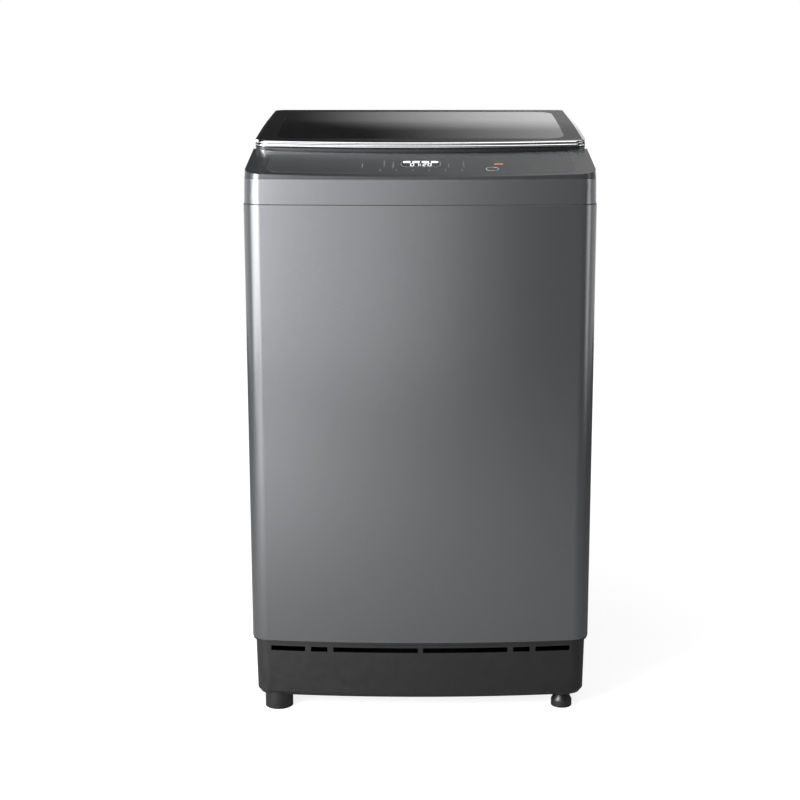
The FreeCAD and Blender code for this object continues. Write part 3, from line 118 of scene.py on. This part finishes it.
# Metallic stoving paint sprayed on steel: fine flakes, a soft wide sheen and faint orange peel; flakes are drawn coarse
greyMetallicPaint = startMaterial("greyMetallicPaint", {"Metallic": paintValues["metal"], "Coat Weight": 0.12, "Coat Roughness": 0.12})
addTint(greyMetallicPaint, paintValues["low"], paintValues["high"], paintValues["flake"], detail=1.0)
addPolish(greyMetallicPaint, paintValues["smooth"], paintValues["rough"], 60)
addGrain(greyMetallicPaint, 9.0, 0.004)

# The same paint on a moulded ABS band: slightly smoother than the sheet below it
paintedBandPlastic = startMaterial("paintedBandPlastic", {"Metallic": 0.8, "Coat Weight": 0.12, "Coat Roughness": 0.1})
addTint(paintedBandPlastic, "#6a6b6d", "#6d6e70", 3.0, detail=1.0)
addPolish(paintedBandPlastic, 0.22, 0.24, 50)

# Hot-dip galvanised sheet: cold grey crystals of zinc about 12 mm across
galvanisedSteel = startMaterial("galvanisedSteel", {"Metallic": 0.9})
crystals = addNode(galvanisedSteel[1], "TexVoronoi", {"Vector": galvanisedSteel[3], "Scale": 1 / (12 * mm), "Randomness": 1.0})
spangle = addNode(galvanisedSteel[1], "ValToRGB", {"Fac": crystals.outputs["Color"]})
spangle.color_ramp.elements[0].color = linear("#a2a6a8")
spangle.color_ramp.elements[1].color = linear("#bcc0c2")
galvanisedSteel[1].links.new(spangle.outputs["Color"], galvanisedSteel[2].inputs["Base Color"])
addPolish(galvanisedSteel, 0.32, 0.5, 12)

# Dark grey moulded ABS with a fine satin spark grain
darkAbs = startMaterial("darkAbs", {"Metallic": 0.0, "IOR": 1.5})
addTint(darkAbs, "#2e2f31", "#323335", 25)
addPolish(darkAbs, 0.2, 0.26, 18)
addGrain(darkAbs, 1.2, 0.006)

# Printed polycarbonate film, satin: an even sheet that catches a broad soft light
overlayFilm = startMaterial("overlayFilm", {"IOR": 1.5})
addTint(overlayFilm, "#333436", "#363739", 30)
addPolish(overlayFilm, 0.3, 0.34, 14)

# Smoked acrylic lens over the display: near black and glossy
displayLens = startMaterial("displayLens", {"IOR": 1.49})
addTint(displayLens, "#2a2b2d", "#2d2e30", 12)
addPolish(displayLens, 0.2, 0.24, 10)

# Bright chromium plate on ABS: a clean mirror with a very faint ripple
chromePlate = startMaterial("chromePlate", {"Metallic": 1.0})
addTint(chromePlate, "#dddee0", "#e3e4e6", 30)
addPolish(chromePlate, 0.1, 0.16, 20)
addGrain(chromePlate, 9.0, 0.003)

# Tempered glass with a smoke tint: dark through, sharp reflections on top
smokedGlass = startMaterial("smokedGlass", {"IOR": 1.52, "Transmission Weight": 1.0})
addTint(smokedGlass, "#6a6c6e", "#707274", 60)
addPolish(smokedGlass, 0.05, 0.09, 40)

# Black ceramic ink fired on the glass round its window: a dull border that reflects far less than the glass
ceramicBorderPrint = startMaterial("ceramicBorderPrint", {"IOR": 1.4, "Specular IOR Level": 0.22})
addTint(ceramicBorderPrint, "#0e0e0f", "#121213", 20)
addPolish(ceramicBorderPrint, 0.3, 0.38, 6)

# Black moulded polypropylene: waxy satin with a visible leather-fine grain
blackPolypropylene = startMaterial("blackPolypropylene", {"IOR": 1.49})
addTint(blackPolypropylene, "#121213", "#171718", 20)
addPolish(blackPolypropylene, 0.38, 0.5, 12)
addGrain(blackPolypropylene, 1.6, 0.012)

# Black moulded ABS of the lid, glossier than the base
blackAbs = startMaterial("blackAbs", {"IOR": 1.52})
addTint(blackAbs, "#151516", "#19191a", 22)
addPolish(blackAbs, 0.22, 0.3, 15)
addGrain(blackAbs, 1.4, 0.004)

# Zinc-plated and passivated hardware: bright with a faint blue and yellow drift
zincPlate = startMaterial("zincPlate", {"Metallic": 1.0})
addTint(zincPlate, "#b9bcc0", "#c7c5bc", 5)
addPolish(zincPlate, 0.25, 0.4, 3)

# White moulded ABS: even, slightly warm, satin
whiteAbs = startMaterial("whiteAbs", {"IOR": 1.52, "Subsurface Weight": 0.05, "Subsurface Scale": 0.002})
addTint(whiteAbs, "#dfe1e1", "#e6e7e6", 40)
addPolish(whiteAbs, 0.28, 0.38, 20)
addGrain(whiteAbs, 1.2, 0.004)

# Grey moulded polypropylene, as of the tub: filled, matt, with faint flow marks
greyPolypropylene = startMaterial("greyPolypropylene", {"IOR": 1.49})
addTint(greyPolypropylene, "#a9acae", "#b4b7b8", 35, stretch=(1, 1, 0.35))
addPolish(greyPolypropylene, 0.42, 0.55, 16)
addGrain(greyPolypropylene, 2.0, 0.01)

# Rolled stainless steel: fine marks along the rolling direction, round the drum
stainlessSteel = startMaterial("stainlessSteel", {"Metallic": 1.0, "Anisotropic": 0.3})
addTint(stainlessSteel, "#b4b6b8", "#c4c6c8", 8, stretch=(0.05, 0.05, 1))
addPolish(stainlessSteel, 0.2, 0.34, 5, stretch=(0.05, 0.05, 1))
addGrain(stainlessSteel, 1.2, 0.003, stretch=(0.03, 0.03, 1))

# Moulded rubber: matt, slightly dusty black
mouldedRubber = startMaterial("mouldedRubber", {"IOR": 1.52})
addTint(mouldedRubber, "#191a1a", "#212121", 14)
addPolish(mouldedRubber, 0.6, 0.75, 8)
addGrain(mouldedRubber, 1.0, 0.01)

# Oiled spring wire: dark steel with a wet sheen
springSteel = startMaterial("springSteel", {"Metallic": 1.0})
addTint(springSteel, "#6e7072", "#85878a", 4)
addPolish(springSteel, 0.28, 0.42, 3)

# Glass-epoxy board with green resist: the weave shows as a faint 1 mm mottle
circuitBoard = startMaterial("circuitBoard", {"IOR": 1.55})
addTint(circuitBoard, "#14532f", "#1c6339", 1.0)
addPolish(circuitBoard, 0.3, 0.4, 4)

# Die-cast aluminium: bright grey with the dull skin of the mould
castAluminium = startMaterial("castAluminium", {"Metallic": 0.95})
addTint(castAluminium, "#a3a6a9", "#b6b8ba", 9)
addPolish(castAluminium, 0.4, 0.55, 5)
addGrain(castAluminium, 1.5, 0.02)

# Black stoved enamel of the motor: glossy over slight dust
motorEnamel = startMaterial("motorEnamel", {"IOR": 1.5})
addTint(motorEnamel, "#1b1c1e", "#232426", 15)
addPolish(motorEnamel, 0.25, 0.4, 8)

# White screen-printed ink on the film
whiteInk = startMaterial("whiteInk", {"Roughness": 0.45})
addTint(whiteInk, "#c9cacb", "#d2d3d4", 3)

# Grey screen-printed ink, thinner
greyInk = startMaterial("greyInk", {"Roughness": 0.45})
addTint(greyInk, "#8d8f91", "#949698", 3)

# White lamp light through the lens
litSegment = startMaterial("litSegment", {"Roughness": 0.4, "Emission Color": linear("#ffffff"), "Emission Strength": 0.55})
addTint(litSegment, "#e0e2e4", "#eceeef", 2)

# Amber lamp behind the film
amberLamp = startMaterial("amberLamp", {"Roughness": 0.4, "Emission Color": linear("#e08a50"), "Emission Strength": 0.25})
addTint(amberLamp, "#b87750", "#c08058", 2)
print("finishes made")


def softShape(nodeName, look, body, edgeRadius=0.0, angle=32):
    # a merged copy of a CAD node, with rounded edges where edgeRadius (mm) is set
    source = frame["nodes"][nodeName]
    work = bmesh.new()
    work.from_mesh(source.data)
    bmesh.ops.remove_doubles(work, verts=work.verts, dist=0.002 * mm)
    bmesh.ops.dissolve_limit(work, angle_limit=math.radians(0.01), verts=work.verts, edges=work.edges)
    for face in work.faces:
        face.smooth = True
    for edge in work.edges:
        edge.smooth = edge.is_manifold and edge.calc_face_angle(0) < math.radians(angle)
    return finishPiece(work, nodeName + "Shown", look, body, replaces=[nodeName], edgeRadius=edgeRadius)


def finishPiece(work, name, look, body, replaces=(), edgeRadius=0.0):
    mesh = bpy.data.meshes.new(name)
    work.to_mesh(mesh)
    work.free()
    piece = bpy.data.objects.new(name, mesh)
    bpy.context.scene.collection.objects.link(piece)
    mesh.materials.append(look[0])
    if edgeRadius:
        edges = piece.modifiers.new("edges", "BEVEL")
        edges.width = edgeRadius * mm
        edges.segments = 2
        edges.limit_method = "ANGLE"
        edges.angle_limit = math.radians(40)
        edges.use_clamp_overlap = True
        edges.harden_normals = True
    level = piece.modifiers.new("normals", "WEIGHTED_NORMAL")
    level.keep_sharp = True
    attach(piece, body)
    if replaces:
        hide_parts(*replaces)
    return piece


looks = {
    "cabinet_paint": greyMetallicPaint, "band_paint": paintedBandPlastic, "galvanised": galvanisedSteel,
    "zinc_hardware": zincPlate, "dark_plastic": darkAbs, "black_plastic": blackPolypropylene,
    "overlay_film": overlayFilm, "display_lens": displayLens, "circuit_board": circuitBoard,
    "lid_plastic": blackAbs, "smoked_glass": smokedGlass, "chrome_trim": chromePlate, "white_plastic": whiteAbs,
    "grey_plastic": greyPolypropylene, "stainless": stainlessSteel, "rubber_black": mouldedRubber,
    "spring_steel": springSteel, "aluminium_cast": castAluminium, "motor_enamel": motorEnamel,
}
slotOf = {part["node"]: part["material_slot"] for part in frame["record"]["subparts"]}
bodyOf = {node: body for body, nodes in frame["record"]["behaviour"]["bodies"].items() for node in nodes}
edgeRound = {"cabinet_shell": 0.8, "cover_band": 1.4, "base_skirt": 0.8, "top_cover": 0.8, "lid_front_trim": 0.8,
             "lid_frame": 0.6, "rear_panel": 0.5, "fixed_feet": 1.0, "levelling_foot": 1.0}
handMade = ["lid_front_trim", "wash_basket", "suspension_springs"]

for nodeName, node in frame["nodes"].items():
    look = looks[slotOf[nodeName]]
    node.data.materials.clear()
    node.data.materials.append(look[0])
    if nodeName not in handMade:
        softShape(nodeName, look, bodyOf[nodeName], edgeRound.get(nodeName, 0.0))
print("CAD shapes dressed")


strip = {"apex": -0.1575, "top": 0.984, "climb": 0.1417, "bowRadius": 2.1281, "cornerRadius": 0.020, "cornerX": 0.2665,
         "run": 0.012, "steps": 24, "cornerSteps": 8,
         "profile": ((11.0, 0.0), (5.2, -0.1), (3.4, -0.7), (2.4, -1.9), (2.1, -3.4), (2.6, -4.5), (2.2, -4.9),
                     (0.9, -5.4), (0.15, -6.4), (0.0, -8.0), (0.5, -9.9), (1.6, -10.9), (11.0, -10.9))}
bowCentre = Vector((0, strip["apex"] + strip["bowRadius"], 0))
inner = strip["bowRadius"] - strip["cornerRadius"]
turn = math.asin(strip["cornerX"] / inner)
cornerCentre = Vector((strip["cornerX"], bowCentre.y - inner * math.cos(turn), 0))

work = bmesh.new()
points = [work.verts.new((0, strip["apex"] + y * mm, strip["top"] + z * mm)) for y, z in strip["profile"]]
ring = [work.edges.new((a, b)) for a, b in zip(points, points[1:] + points[:1])]
halfBow = bmesh.ops.spin(work, geom=points + ring, cent=bowCentre, axis=(0, 0, 1), angle=turn, steps=strip["steps"])
corner = bmesh.ops.spin(work, geom=halfBow["geom_last"], cent=cornerCentre, axis=(0, 0, 1), angle=math.pi / 2 - turn,
                        steps=strip["cornerSteps"])
back = bmesh.ops.extrude_edge_only(work, edges=[e for e in corner["geom_last"] if isinstance(e, bmesh.types.BMEdge)])
ends = vertsOf(back)
bmesh.ops.translate(work, vec=(0, strip["run"], 0), verts=ends)
bmesh.ops.contextual_create(work, geom=ends)
bmesh.ops.mirror(work, geom=work.verts[:] + work.edges[:] + work.faces[:], axis="X", merge_dist=0.02 * mm)
shear = Matrix.Identity(4)
shear[2][1] = strip["climb"]
shear[2][3] = -strip["climb"] * strip["apex"]
bmesh.ops.transform(work, matrix=shear, verts=work.verts)
bmesh.ops.remove_doubles(work, verts=work.verts, dist=0.01 * mm)
bmesh.ops.recalc_face_normals(work, faces=work.faces)
for face in work.faces:
    face.smooth = True
for edge in work.edges:
    edge.smooth = edge.is_manifold and edge.calc_face_angle(0) < math.radians(40)
finishPiece(work, "chromeFrontStrip", chromePlate, "lid", replaces=["lid_front_trim"])

border = {"half": 0.253, "front": -0.1175, "back": 0.2125, "corner": 0.034, "chords": 7, "lift": 0.00008}
work = bmesh.new()
work.from_mesh(frame["nodes"]["lid_glass"].data)
bmesh.ops.remove_doubles(work, verts=work.verts, dist=0.002 * mm)
bmesh.ops.delete(work, geom=[f for f in work.faces if f.normal.z < 0.5], context="FACES")
cuts = []
for step in range(4 * border["chords"]):
    heading = math.radians(90 * (step + 0.5) / border["chords"])
    side = Vector((math.cos(heading), math.sin(heading), 0))
    centre = Vector((math.copysign(border["half"] - border["corner"], side.x),
                     border["back"] - border["corner"] if side.y > 0 else border["front"] + border["corner"], 0))
    cuts.append((centre + side * border["corner"], side))
cuts += [(Vector((border["half"], 0, 0)), Vector((1, 0, 0))), (Vector((-border["half"], 0, 0)), Vector((-1, 0, 0))),
         (Vector((0, border["back"], 0)), Vector((0, 1, 0))), (Vector((0, border["front"], 0)), Vector((0, -1, 0)))]
for point, side in cuts:
    bmesh.ops.bisect_plane(work, geom=work.verts[:] + work.edges[:] + work.faces[:], plane_co=point, plane_no=side, dist=1e-7)
window = [f for f in work.faces if all((f.calc_center_median() - point).dot(side) < 0 for point, side in cuts)]
bmesh.ops.delete(work, geom=window, context="FACES")
bmesh.ops.translate(work, vec=(0, 0, border["lift"]), verts=work.verts)
grown = bmesh.ops.extrude_face_region(work, geom=work.faces[:])
bmesh.ops.translate(work, vec=(0, 0, -0.06 * mm), verts=vertsOf(grown))
bmesh.ops.recalc_face_normals(work, faces=work.faces)
for face in work.faces:
    face.smooth = True
for edge in work.edges:
    edge.smooth = edge.is_manifold and edge.calc_face_angle(0) < math.radians(30)
finishPiece(work, "lidBorderPrint", ceramicBorderPrint, "lid")
print("lid finished")


drum = {"radius": 0.2458, "centreY": -0.006, "low": 0.3145, "high": 0.8215, "columns": 36, "rows": 15, "hole": 2.4,
        "dimple": 1.5, "dimpleRadius": 10.5, "sheet": 0.8, "segments": 8}
cellWidth = 2 * math.pi * drum["radius"] / drum["columns"]
cellHeight = (drum["high"] - drum["low"]) / drum["rows"]


def ringOut(work, edges, scale, shift):
    # one more ring of faces round an opening, scaled about the cell's middle
    grown = bmesh.ops.extrude_edge_only(work, edges=edges)
    verts = vertsOf(grown)
    bmesh.ops.scale(work, vec=(scale, 1, scale), verts=verts)
    bmesh.ops.translate(work, vec=(0, shift, 0), verts=verts)
    return verts, [e for e in grown["geom"] if isinstance(e, bmesh.types.BMEdge)]


work = bmesh.new()
hole = bmesh.ops.create_circle(work, segments=drum["segments"], radius=drum["hole"] * mm, cap_ends=False)
bmesh.ops.rotate(work, cent=(0, 0, 0), matrix=Matrix.Rotation(math.pi / 2, 3, "X"), verts=hole["verts"])
edges = work.edges[:]
verts, edges = ringOut(work, edges, drum["dimpleRadius"] * 0.55 / drum["hole"], -0.3 * drum["dimple"] * mm)
verts, edges = ringOut(work, edges, 1 / 0.55, -0.7 * drum["dimple"] * mm)
verts, edges = ringOut(work, edges, 1.15, 0)
for vert in verts:  # the outer ring is squared off to the cell
    vert.co.x = math.copysign(cellWidth / 2, vert.co.x) if abs(vert.co.x) > 1e-5 else 0.0
    vert.co.z = math.copysign(cellHeight / 2, vert.co.z) if abs(vert.co.z) > 1e-5 else 0.0
cell = work.verts[:] + work.edges[:] + work.faces[:]
for row in range(1, drum["rows"]):
    copied = bmesh.ops.duplicate(work, geom=cell)
    bmesh.ops.translate(work, vec=(0, 0, row * cellHeight), verts=vertsOf(copied))
bmesh.ops.translate(work, vec=(0, 0, drum["low"] + cellHeight / 2), verts=work.verts)
for vert in work.verts:  # the strip is rolled to the drum's radius
    vert.co.y = drum["centreY"] - math.sqrt((drum["radius"] - vert.co.y) ** 2 - vert.co.x ** 2)
bmesh.ops.spin(work, geom=work.verts[:] + work.edges[:] + work.faces[:], cent=(0, drum["centreY"], 0), axis=(0, 0, 1),
               angle=2 * math.pi, steps=drum["columns"], use_duplicate=True)
bmesh.ops.remove_doubles(work, verts=work.verts, dist=0.3 * mm)
for rim in (0, 1):  # plain rims above and below the pattern
    level = drum["high"] if rim else drum["low"]
    open_ = [e for e in work.edges if e.is_boundary and all(abs(v.co.z - level) < 1e-4 for v in e.verts)]
    grown = bmesh.ops.extrude_edge_only(work, edges=open_)
    bmesh.ops.translate(work, vec=(0, 0, 0.006 if rim else -0.007), verts=vertsOf(grown))
bmesh.ops.recalc_face_normals(work, faces=work.faces)
for face in work.faces:
    face.smooth = True
if sum((f.calc_center_median() - Vector((0, drum["centreY"], f.calc_center_median().z))).dot(f.normal) for f in work.faces) < 0:
    bmesh.ops.reverse_faces(work, faces=work.faces)
drumPiece = finishPiece(work, "perforatedDrum", stainlessSteel, "basket", replaces=["wash_basket"])
wall = drumPiece.modifiers.new("wall", "SOLIDIFY")
wall.thickness = drum["sheet"] * mm
wall.offset = -1
print("drum perforated")


spring = {"places": ((0.238, 0.222), (-0.238, 0.222), (0.238, -0.234), (-0.238, -0.234)), "radius": 17.6, "wire": 2.1,
          "turns": 8, "perTurn": 24, "low": 0.2427, "high": 0.3150}
work = bmesh.new()
for x, y in spring["places"]:
    wire = bmesh.ops.create_circle(work, segments=10, radius=spring["wire"] * mm, cap_ends=True)
    bmesh.ops.rotate(work, cent=(0, 0, 0), matrix=Matrix.Rotation(math.pi / 2, 3, "X"), verts=wire["verts"])
    bmesh.ops.translate(work, vec=(x + spring["radius"] * mm, y, spring["low"]), verts=wire["verts"])
    disc = list({f for v in wire["verts"] for f in v.link_faces})
    steps = spring["turns"] * spring["perTurn"]
    bmesh.ops.spin(work, geom=disc, cent=(x, y, 0), axis=(0, 0, 1), angle=2 * math.pi * spring["turns"], steps=steps,
                   dvec=(0, 0, (spring["high"] - spring["low"]) / steps))
bmesh.ops.recalc_face_normals(work, faces=work.faces)
for face in work.faces:
    face.smooth = True
springPiece = finishPiece(work, "coilSprings", springSteel, "cabinet", replaces=["suspension_springs"])
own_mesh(springPiece)
print("springs wound")


console = {"frontY": -0.3075, "level": 0.9345, "slope": 0.232, "lift": 0.00045, "ink": 0.00012}
display = {"centre": 0.6, "half": 33.5, "front": 58, "back": 93, "line": 1.1, "barFront": 81, "barBack": 91,
           "digitWidth": 6.6, "digitHeight": 17, "digitFront": 62, "stroke": 1.5, "digitPitch": 8.6}


def onConsole(work):
    # lays flat work drawn in mm (x across, y up the slope) on the console
    tilt = math.atan(console["slope"])
    place = (Matrix.Translation((0, console["frontY"], console["level"] + console["lift"]))
             @ Matrix.Rotation(tilt, 4, "X") @ Matrix.Diagonal((mm, mm / math.cos(tilt), mm, 1)))
    bmesh.ops.transform(work, matrix=place, verts=work.verts)
    return work


def addBar(work, x0, y0, x1, y1, corner=0.4):
    made = bmesh.ops.create_grid(work, x_segments=1, y_segments=1, size=0.5)
    bmesh.ops.scale(work, vec=(x1 - x0, y1 - y0, 1), verts=made["verts"])
    bmesh.ops.translate(work, vec=((x0 + x1) / 2, (y0 + y1) / 2, 0), verts=made["verts"])
    corner = min(corner, (x1 - x0) * 0.45, (y1 - y0) * 0.45)
    bmesh.ops.bevel(work, geom=made["verts"], offset=corner, affect="VERTICES", segments=3, profile=0.5, material=-1)


def addRing(work, x0, y0, x1, y1, line, corner):
    made = bmesh.ops.create_grid(work, x_segments=1, y_segments=1, size=0.5)
    verts = made["verts"]
    bmesh.ops.scale(work, vec=(x1 - x0, y1 - y0, 1), verts=verts)
    bmesh.ops.translate(work, vec=((x0 + x1) / 2, (y0 + y1) / 2, 0), verts=verts)
    rounded = bmesh.ops.bevel(work, geom=verts, offset=corner, affect="VERTICES", segments=8, profile=0.5, material=-1)
    plate = max(rounded["faces"] or work.faces, key=lambda f: f.calc_area())
    bmesh.ops.inset_region(work, faces=[plate], thickness=line, use_even_offset=True, use_boundary=True)
    bmesh.ops.delete(work, geom=[plate], context="FACES_ONLY")


def addDigit(work, character, x, y):
    w, h, s = display["digitWidth"], display["digitHeight"], display["stroke"]
    tall = s * 1.6
    bars = {"a": (s, h - tall, w - s, h), "d": (s, 0, w - s, tall), "g": (s, (h - tall) / 2, w - s, (h + tall) / 2),
            "f": (0, h / 2, s, h - tall / 2), "b": (w - s, h / 2, w, h - tall / 2),
            "e": (0, tall / 2, s, h / 2), "c": (w - s, tall / 2, w, h / 2)}
    lit = {"0": "abcdef", "1": "bc", "2": "abdeg"}[character]
    for name in lit:
        x0, y0, x1, y1 = bars[name]
        addBar(work, x + x0, y + y0, x + x1, y + y1, 0.5)


def thicken(work, depth):
    bmesh.ops.recalc_face_normals(work, faces=work.faces)
    for face in work.faces:
        if face.normal.z < 0:
            face.normal_flip()
    grown = bmesh.ops.extrude_face_region(work, geom=work.faces[:])
    bmesh.ops.translate(work, vec=(0, 0, -depth), verts=vertsOf(grown))
    bmesh.ops.recalc_face_normals(work, faces=work.faces)


segments = bmesh.new()
middle = display["centre"]
for column, character in ((-2.05, "0"), (-1.05, "1"), (0.35, "2"), (1.35, "0")):
    addDigit(segments, character, middle + column * display["digitPitch"], display["digitFront"])
for height in (5.5, 11.5):
    addBar(segments, middle - 0.9, display["digitFront"] + height - 1.2, middle + 0.9, display["digitFront"] + height + 1.2, 0.8)
for column in (-1.5, -0.5, 0.5, 1.5):
    centre = middle + column * 15.6
    addBar(segments, centre - 6.2, display["barFront"], centre + 6.2, display["barBack"], 2.0)
thicken(segments, 0.1)
finishPiece(onConsole(segments), "displayDigits", litSegment, "cabinet")

rings = bmesh.new()
addRing(rings, middle - display["half"], display["front"], middle + display["half"], display["back"], display["line"], 12)
thicken(rings, 0.1)
finishPiece(onConsole(rings), "displayOutline", greyInk, "cabinet")

lampColumns = {"left": (-97, (56, 62, 68, 74)), "timeA": (-60.5, (62, 70, 78, 86, 92)), "timeB": (-45.2, (55, 64, 73, 82)),
               "rightA": (47.5, (58, 66, 74)), "rightB": (72.5, (56, 64, 72, 80, 88))}
marks = bmesh.new()
for x, rows in lampColumns.values():
    for y in rows:
        addBar(marks, x - 1.1, y - 1.6, x + 1.1, y + 1.6, 1.0)
for x in (-66.4, -39.4, -12.3, 14.7, 41.7, 69.6):
    addBar(marks, x - 0.7, 35, x + 0.7, 43, 0.5)
thicken(marks, 0.1)
finishPiece(onConsole(marks), "consoleLamps", greyInk, "cabinet")

keys = bmesh.new()
addRing(keys, 109, 37, 130, 56, 1.0, 8)
thicken(keys, 0.1)
finishPiece(onConsole(keys), "startKeyOutline", whiteInk, "cabinet")

amber = bmesh.new()
addBar(amber, 123.5, 71, 139, 77, 2.0)
thicken(amber, 0.1)
finishPiece(onConsole(amber), "amberLampBar", amberLamp, "cabinet")
print("console print laid")


studio = {"top": 28, "floorPool": 150, "floorHalf": 3.4, "floorDrop": 0.5}


def addLamp(name, place, aim, size, power):
    data = bpy.data.lights.new(name, "AREA")
    data.shape = "RECTANGLE"
    data.size, data.size_y = size
    data.energy = power
    lamp = bpy.data.objects.new(name, data)
    lamp.location = place
    lamp.rotation_euler = (Vector(aim) - Vector(place)).to_track_quat("-Z", "Y").to_euler()
    bpy.context.scene.collection.objects.link(lamp)


addLamp("floorPoolSoftbox", (-1.75, -2.0, 1.25), (-1.2, -1.7, 0), (1.1, 1.1), studio["floorPool"])
addLamp("topSoftbox", (0, -0.1, 3.0), (0, -0.1, 0.9), (2.0, 2.0), studio["top"])

world = bpy.data.worlds.new("paleStudio")
bpy.context.scene.world = world
world.use_nodes = True
sky = world.node_tree
sky.nodes.clear()
direction = addNode(sky, "TexCoord").outputs["Generated"]
split = addNode(sky, "SeparateXYZ", {"Vector": direction})
height = addNode(sky, "MapRange", {"Value": split.outputs["Z"], "From Min": 0.02, "From Max": 0.15, "To Min": 1.0, "To Max": 0.03},
                 interpolation_type="SMOOTHSTEP")
side = addNode(sky, "MapRange", {"Value": split.outputs["Y"], "From Min": -0.4, "From Max": 0.3, "To Min": 0.2, "To Max": 1.0})
level = addNode(sky, "Math", {0: height.outputs["Result"], 1: side.outputs["Result"]}, operation="MULTIPLY").outputs["Value"]
# soft panels: azimuth from the front (left is negative) and elevation in degrees, inner and outer radius in degrees, strength
softPanels = {"frontLeft": (-50, -3, 4, 34, 4.2), "frontWide": (-36, -4, 0, 50, 2.0), "sideRight": (72, 0, 3, 16, 2.2),
              "rearRight": (166, 6, 0, 20, 1.4), "rearTop": (155, 36, 2, 26, 0.95)}
for azimuth, elevation, inner, outer, strength in softPanels.values():
    a, e = math.radians(azimuth), math.radians(elevation)
    axis = (math.sin(a) * math.cos(e), -math.cos(a) * math.cos(e), math.sin(e))
    near = addNode(sky, "VectorMath", {0: direction, 1: axis}, operation="DOT_PRODUCT")
    patch = addNode(sky, "MapRange", {"Value": near.outputs["Value"], "From Min": math.cos(math.radians(outer)),
                                      "From Max": math.cos(math.radians(inner)), "To Min": 0.0, "To Max": strength},
                    interpolation_type="SMOOTHSTEP")
    level = addNode(sky, "Math", {0: level, 1: patch.outputs["Result"]}, operation="ADD").outputs["Value"]
rays = addNode(sky, "LightPath")
seen = addNode(sky, "Mix", {"Factor": rays.outputs["Is Camera Ray"], "A": level, "B": 1.0})
background = addNode(sky, "Background", {"Color": linear("#ffffff"), "Strength": seen.outputs[0]})
addNode(sky, "OutputWorld", {"Surface": background.outputs["Background"]})

floorWork = bmesh.new()
bmesh.ops.create_grid(floorWork, x_segments=1, y_segments=1, size=studio["floorHalf"])
bmesh.ops.translate(floorWork, vec=(0, 0, -studio["floorDrop"] * mm), verts=floorWork.verts)
floorMesh = bpy.data.meshes.new("floor")
floorWork.to_mesh(floorMesh)
floorWork.free()
floor = bpy.data.objects.new("floor", floorMesh)
bpy.context.scene.collection.objects.link(floor)
# Matt grey studio paper that glows for the camera: a soft contact shadow with white around it
studioPaper = startMaterial("studioPaper", {"Base Color": linear("#a4a4a4"), "Roughness": 0.9, "Specular IOR Level": 0.1,
                                            "Emission Color": linear("#ffffff")})
floorRays = addNode(studioPaper[1], "LightPath")
visible = addNode(studioPaper[1], "Math", {0: floorRays.outputs["Is Camera Ray"], 1: floorRays.outputs["Is Transmission Ray"]},
                  operation="MAXIMUM")
away = addNode(studioPaper[1], "VectorMath", {0: studioPaper[3]}, operation="LENGTH")
ground = addNode(studioPaper[1], "MapRange", {"Value": away.outputs["Value"], "From Min": 0.5, "From Max": 2.0, "To Min": 0.86, "To Max": 1.0})
glow = addNode(studioPaper[1], "Math", {0: visible.outputs["Value"], 1: ground.outputs["Result"]}, operation="MULTIPLY")
studioPaper[1].links.new(glow.outputs["Value"], studioPaper[2].inputs["Emission Strength"])
floorMesh.materials.append(studioPaper[0])

view = {"place": (0, -2.9075, 1.100), "down": 11.66, "lens": 71.1, "shift": -0.0254}
cameraData = bpy.data.cameras.new("camera")
cameraData.lens = view["lens"]
cameraData.sensor_width = 36
cameraData.shift_x = view["shift"]
camera = bpy.data.objects.new("camera", cameraData)
camera.location = view["place"]
camera.rotation_euler = (math.radians(90 - view["down"]), 0, 0)
bpy.context.scene.collection.objects.link(camera)
bpy.context.scene.camera = camera
bpy.context.scene.view_settings.view_transform = "Standard"
print("studio set")
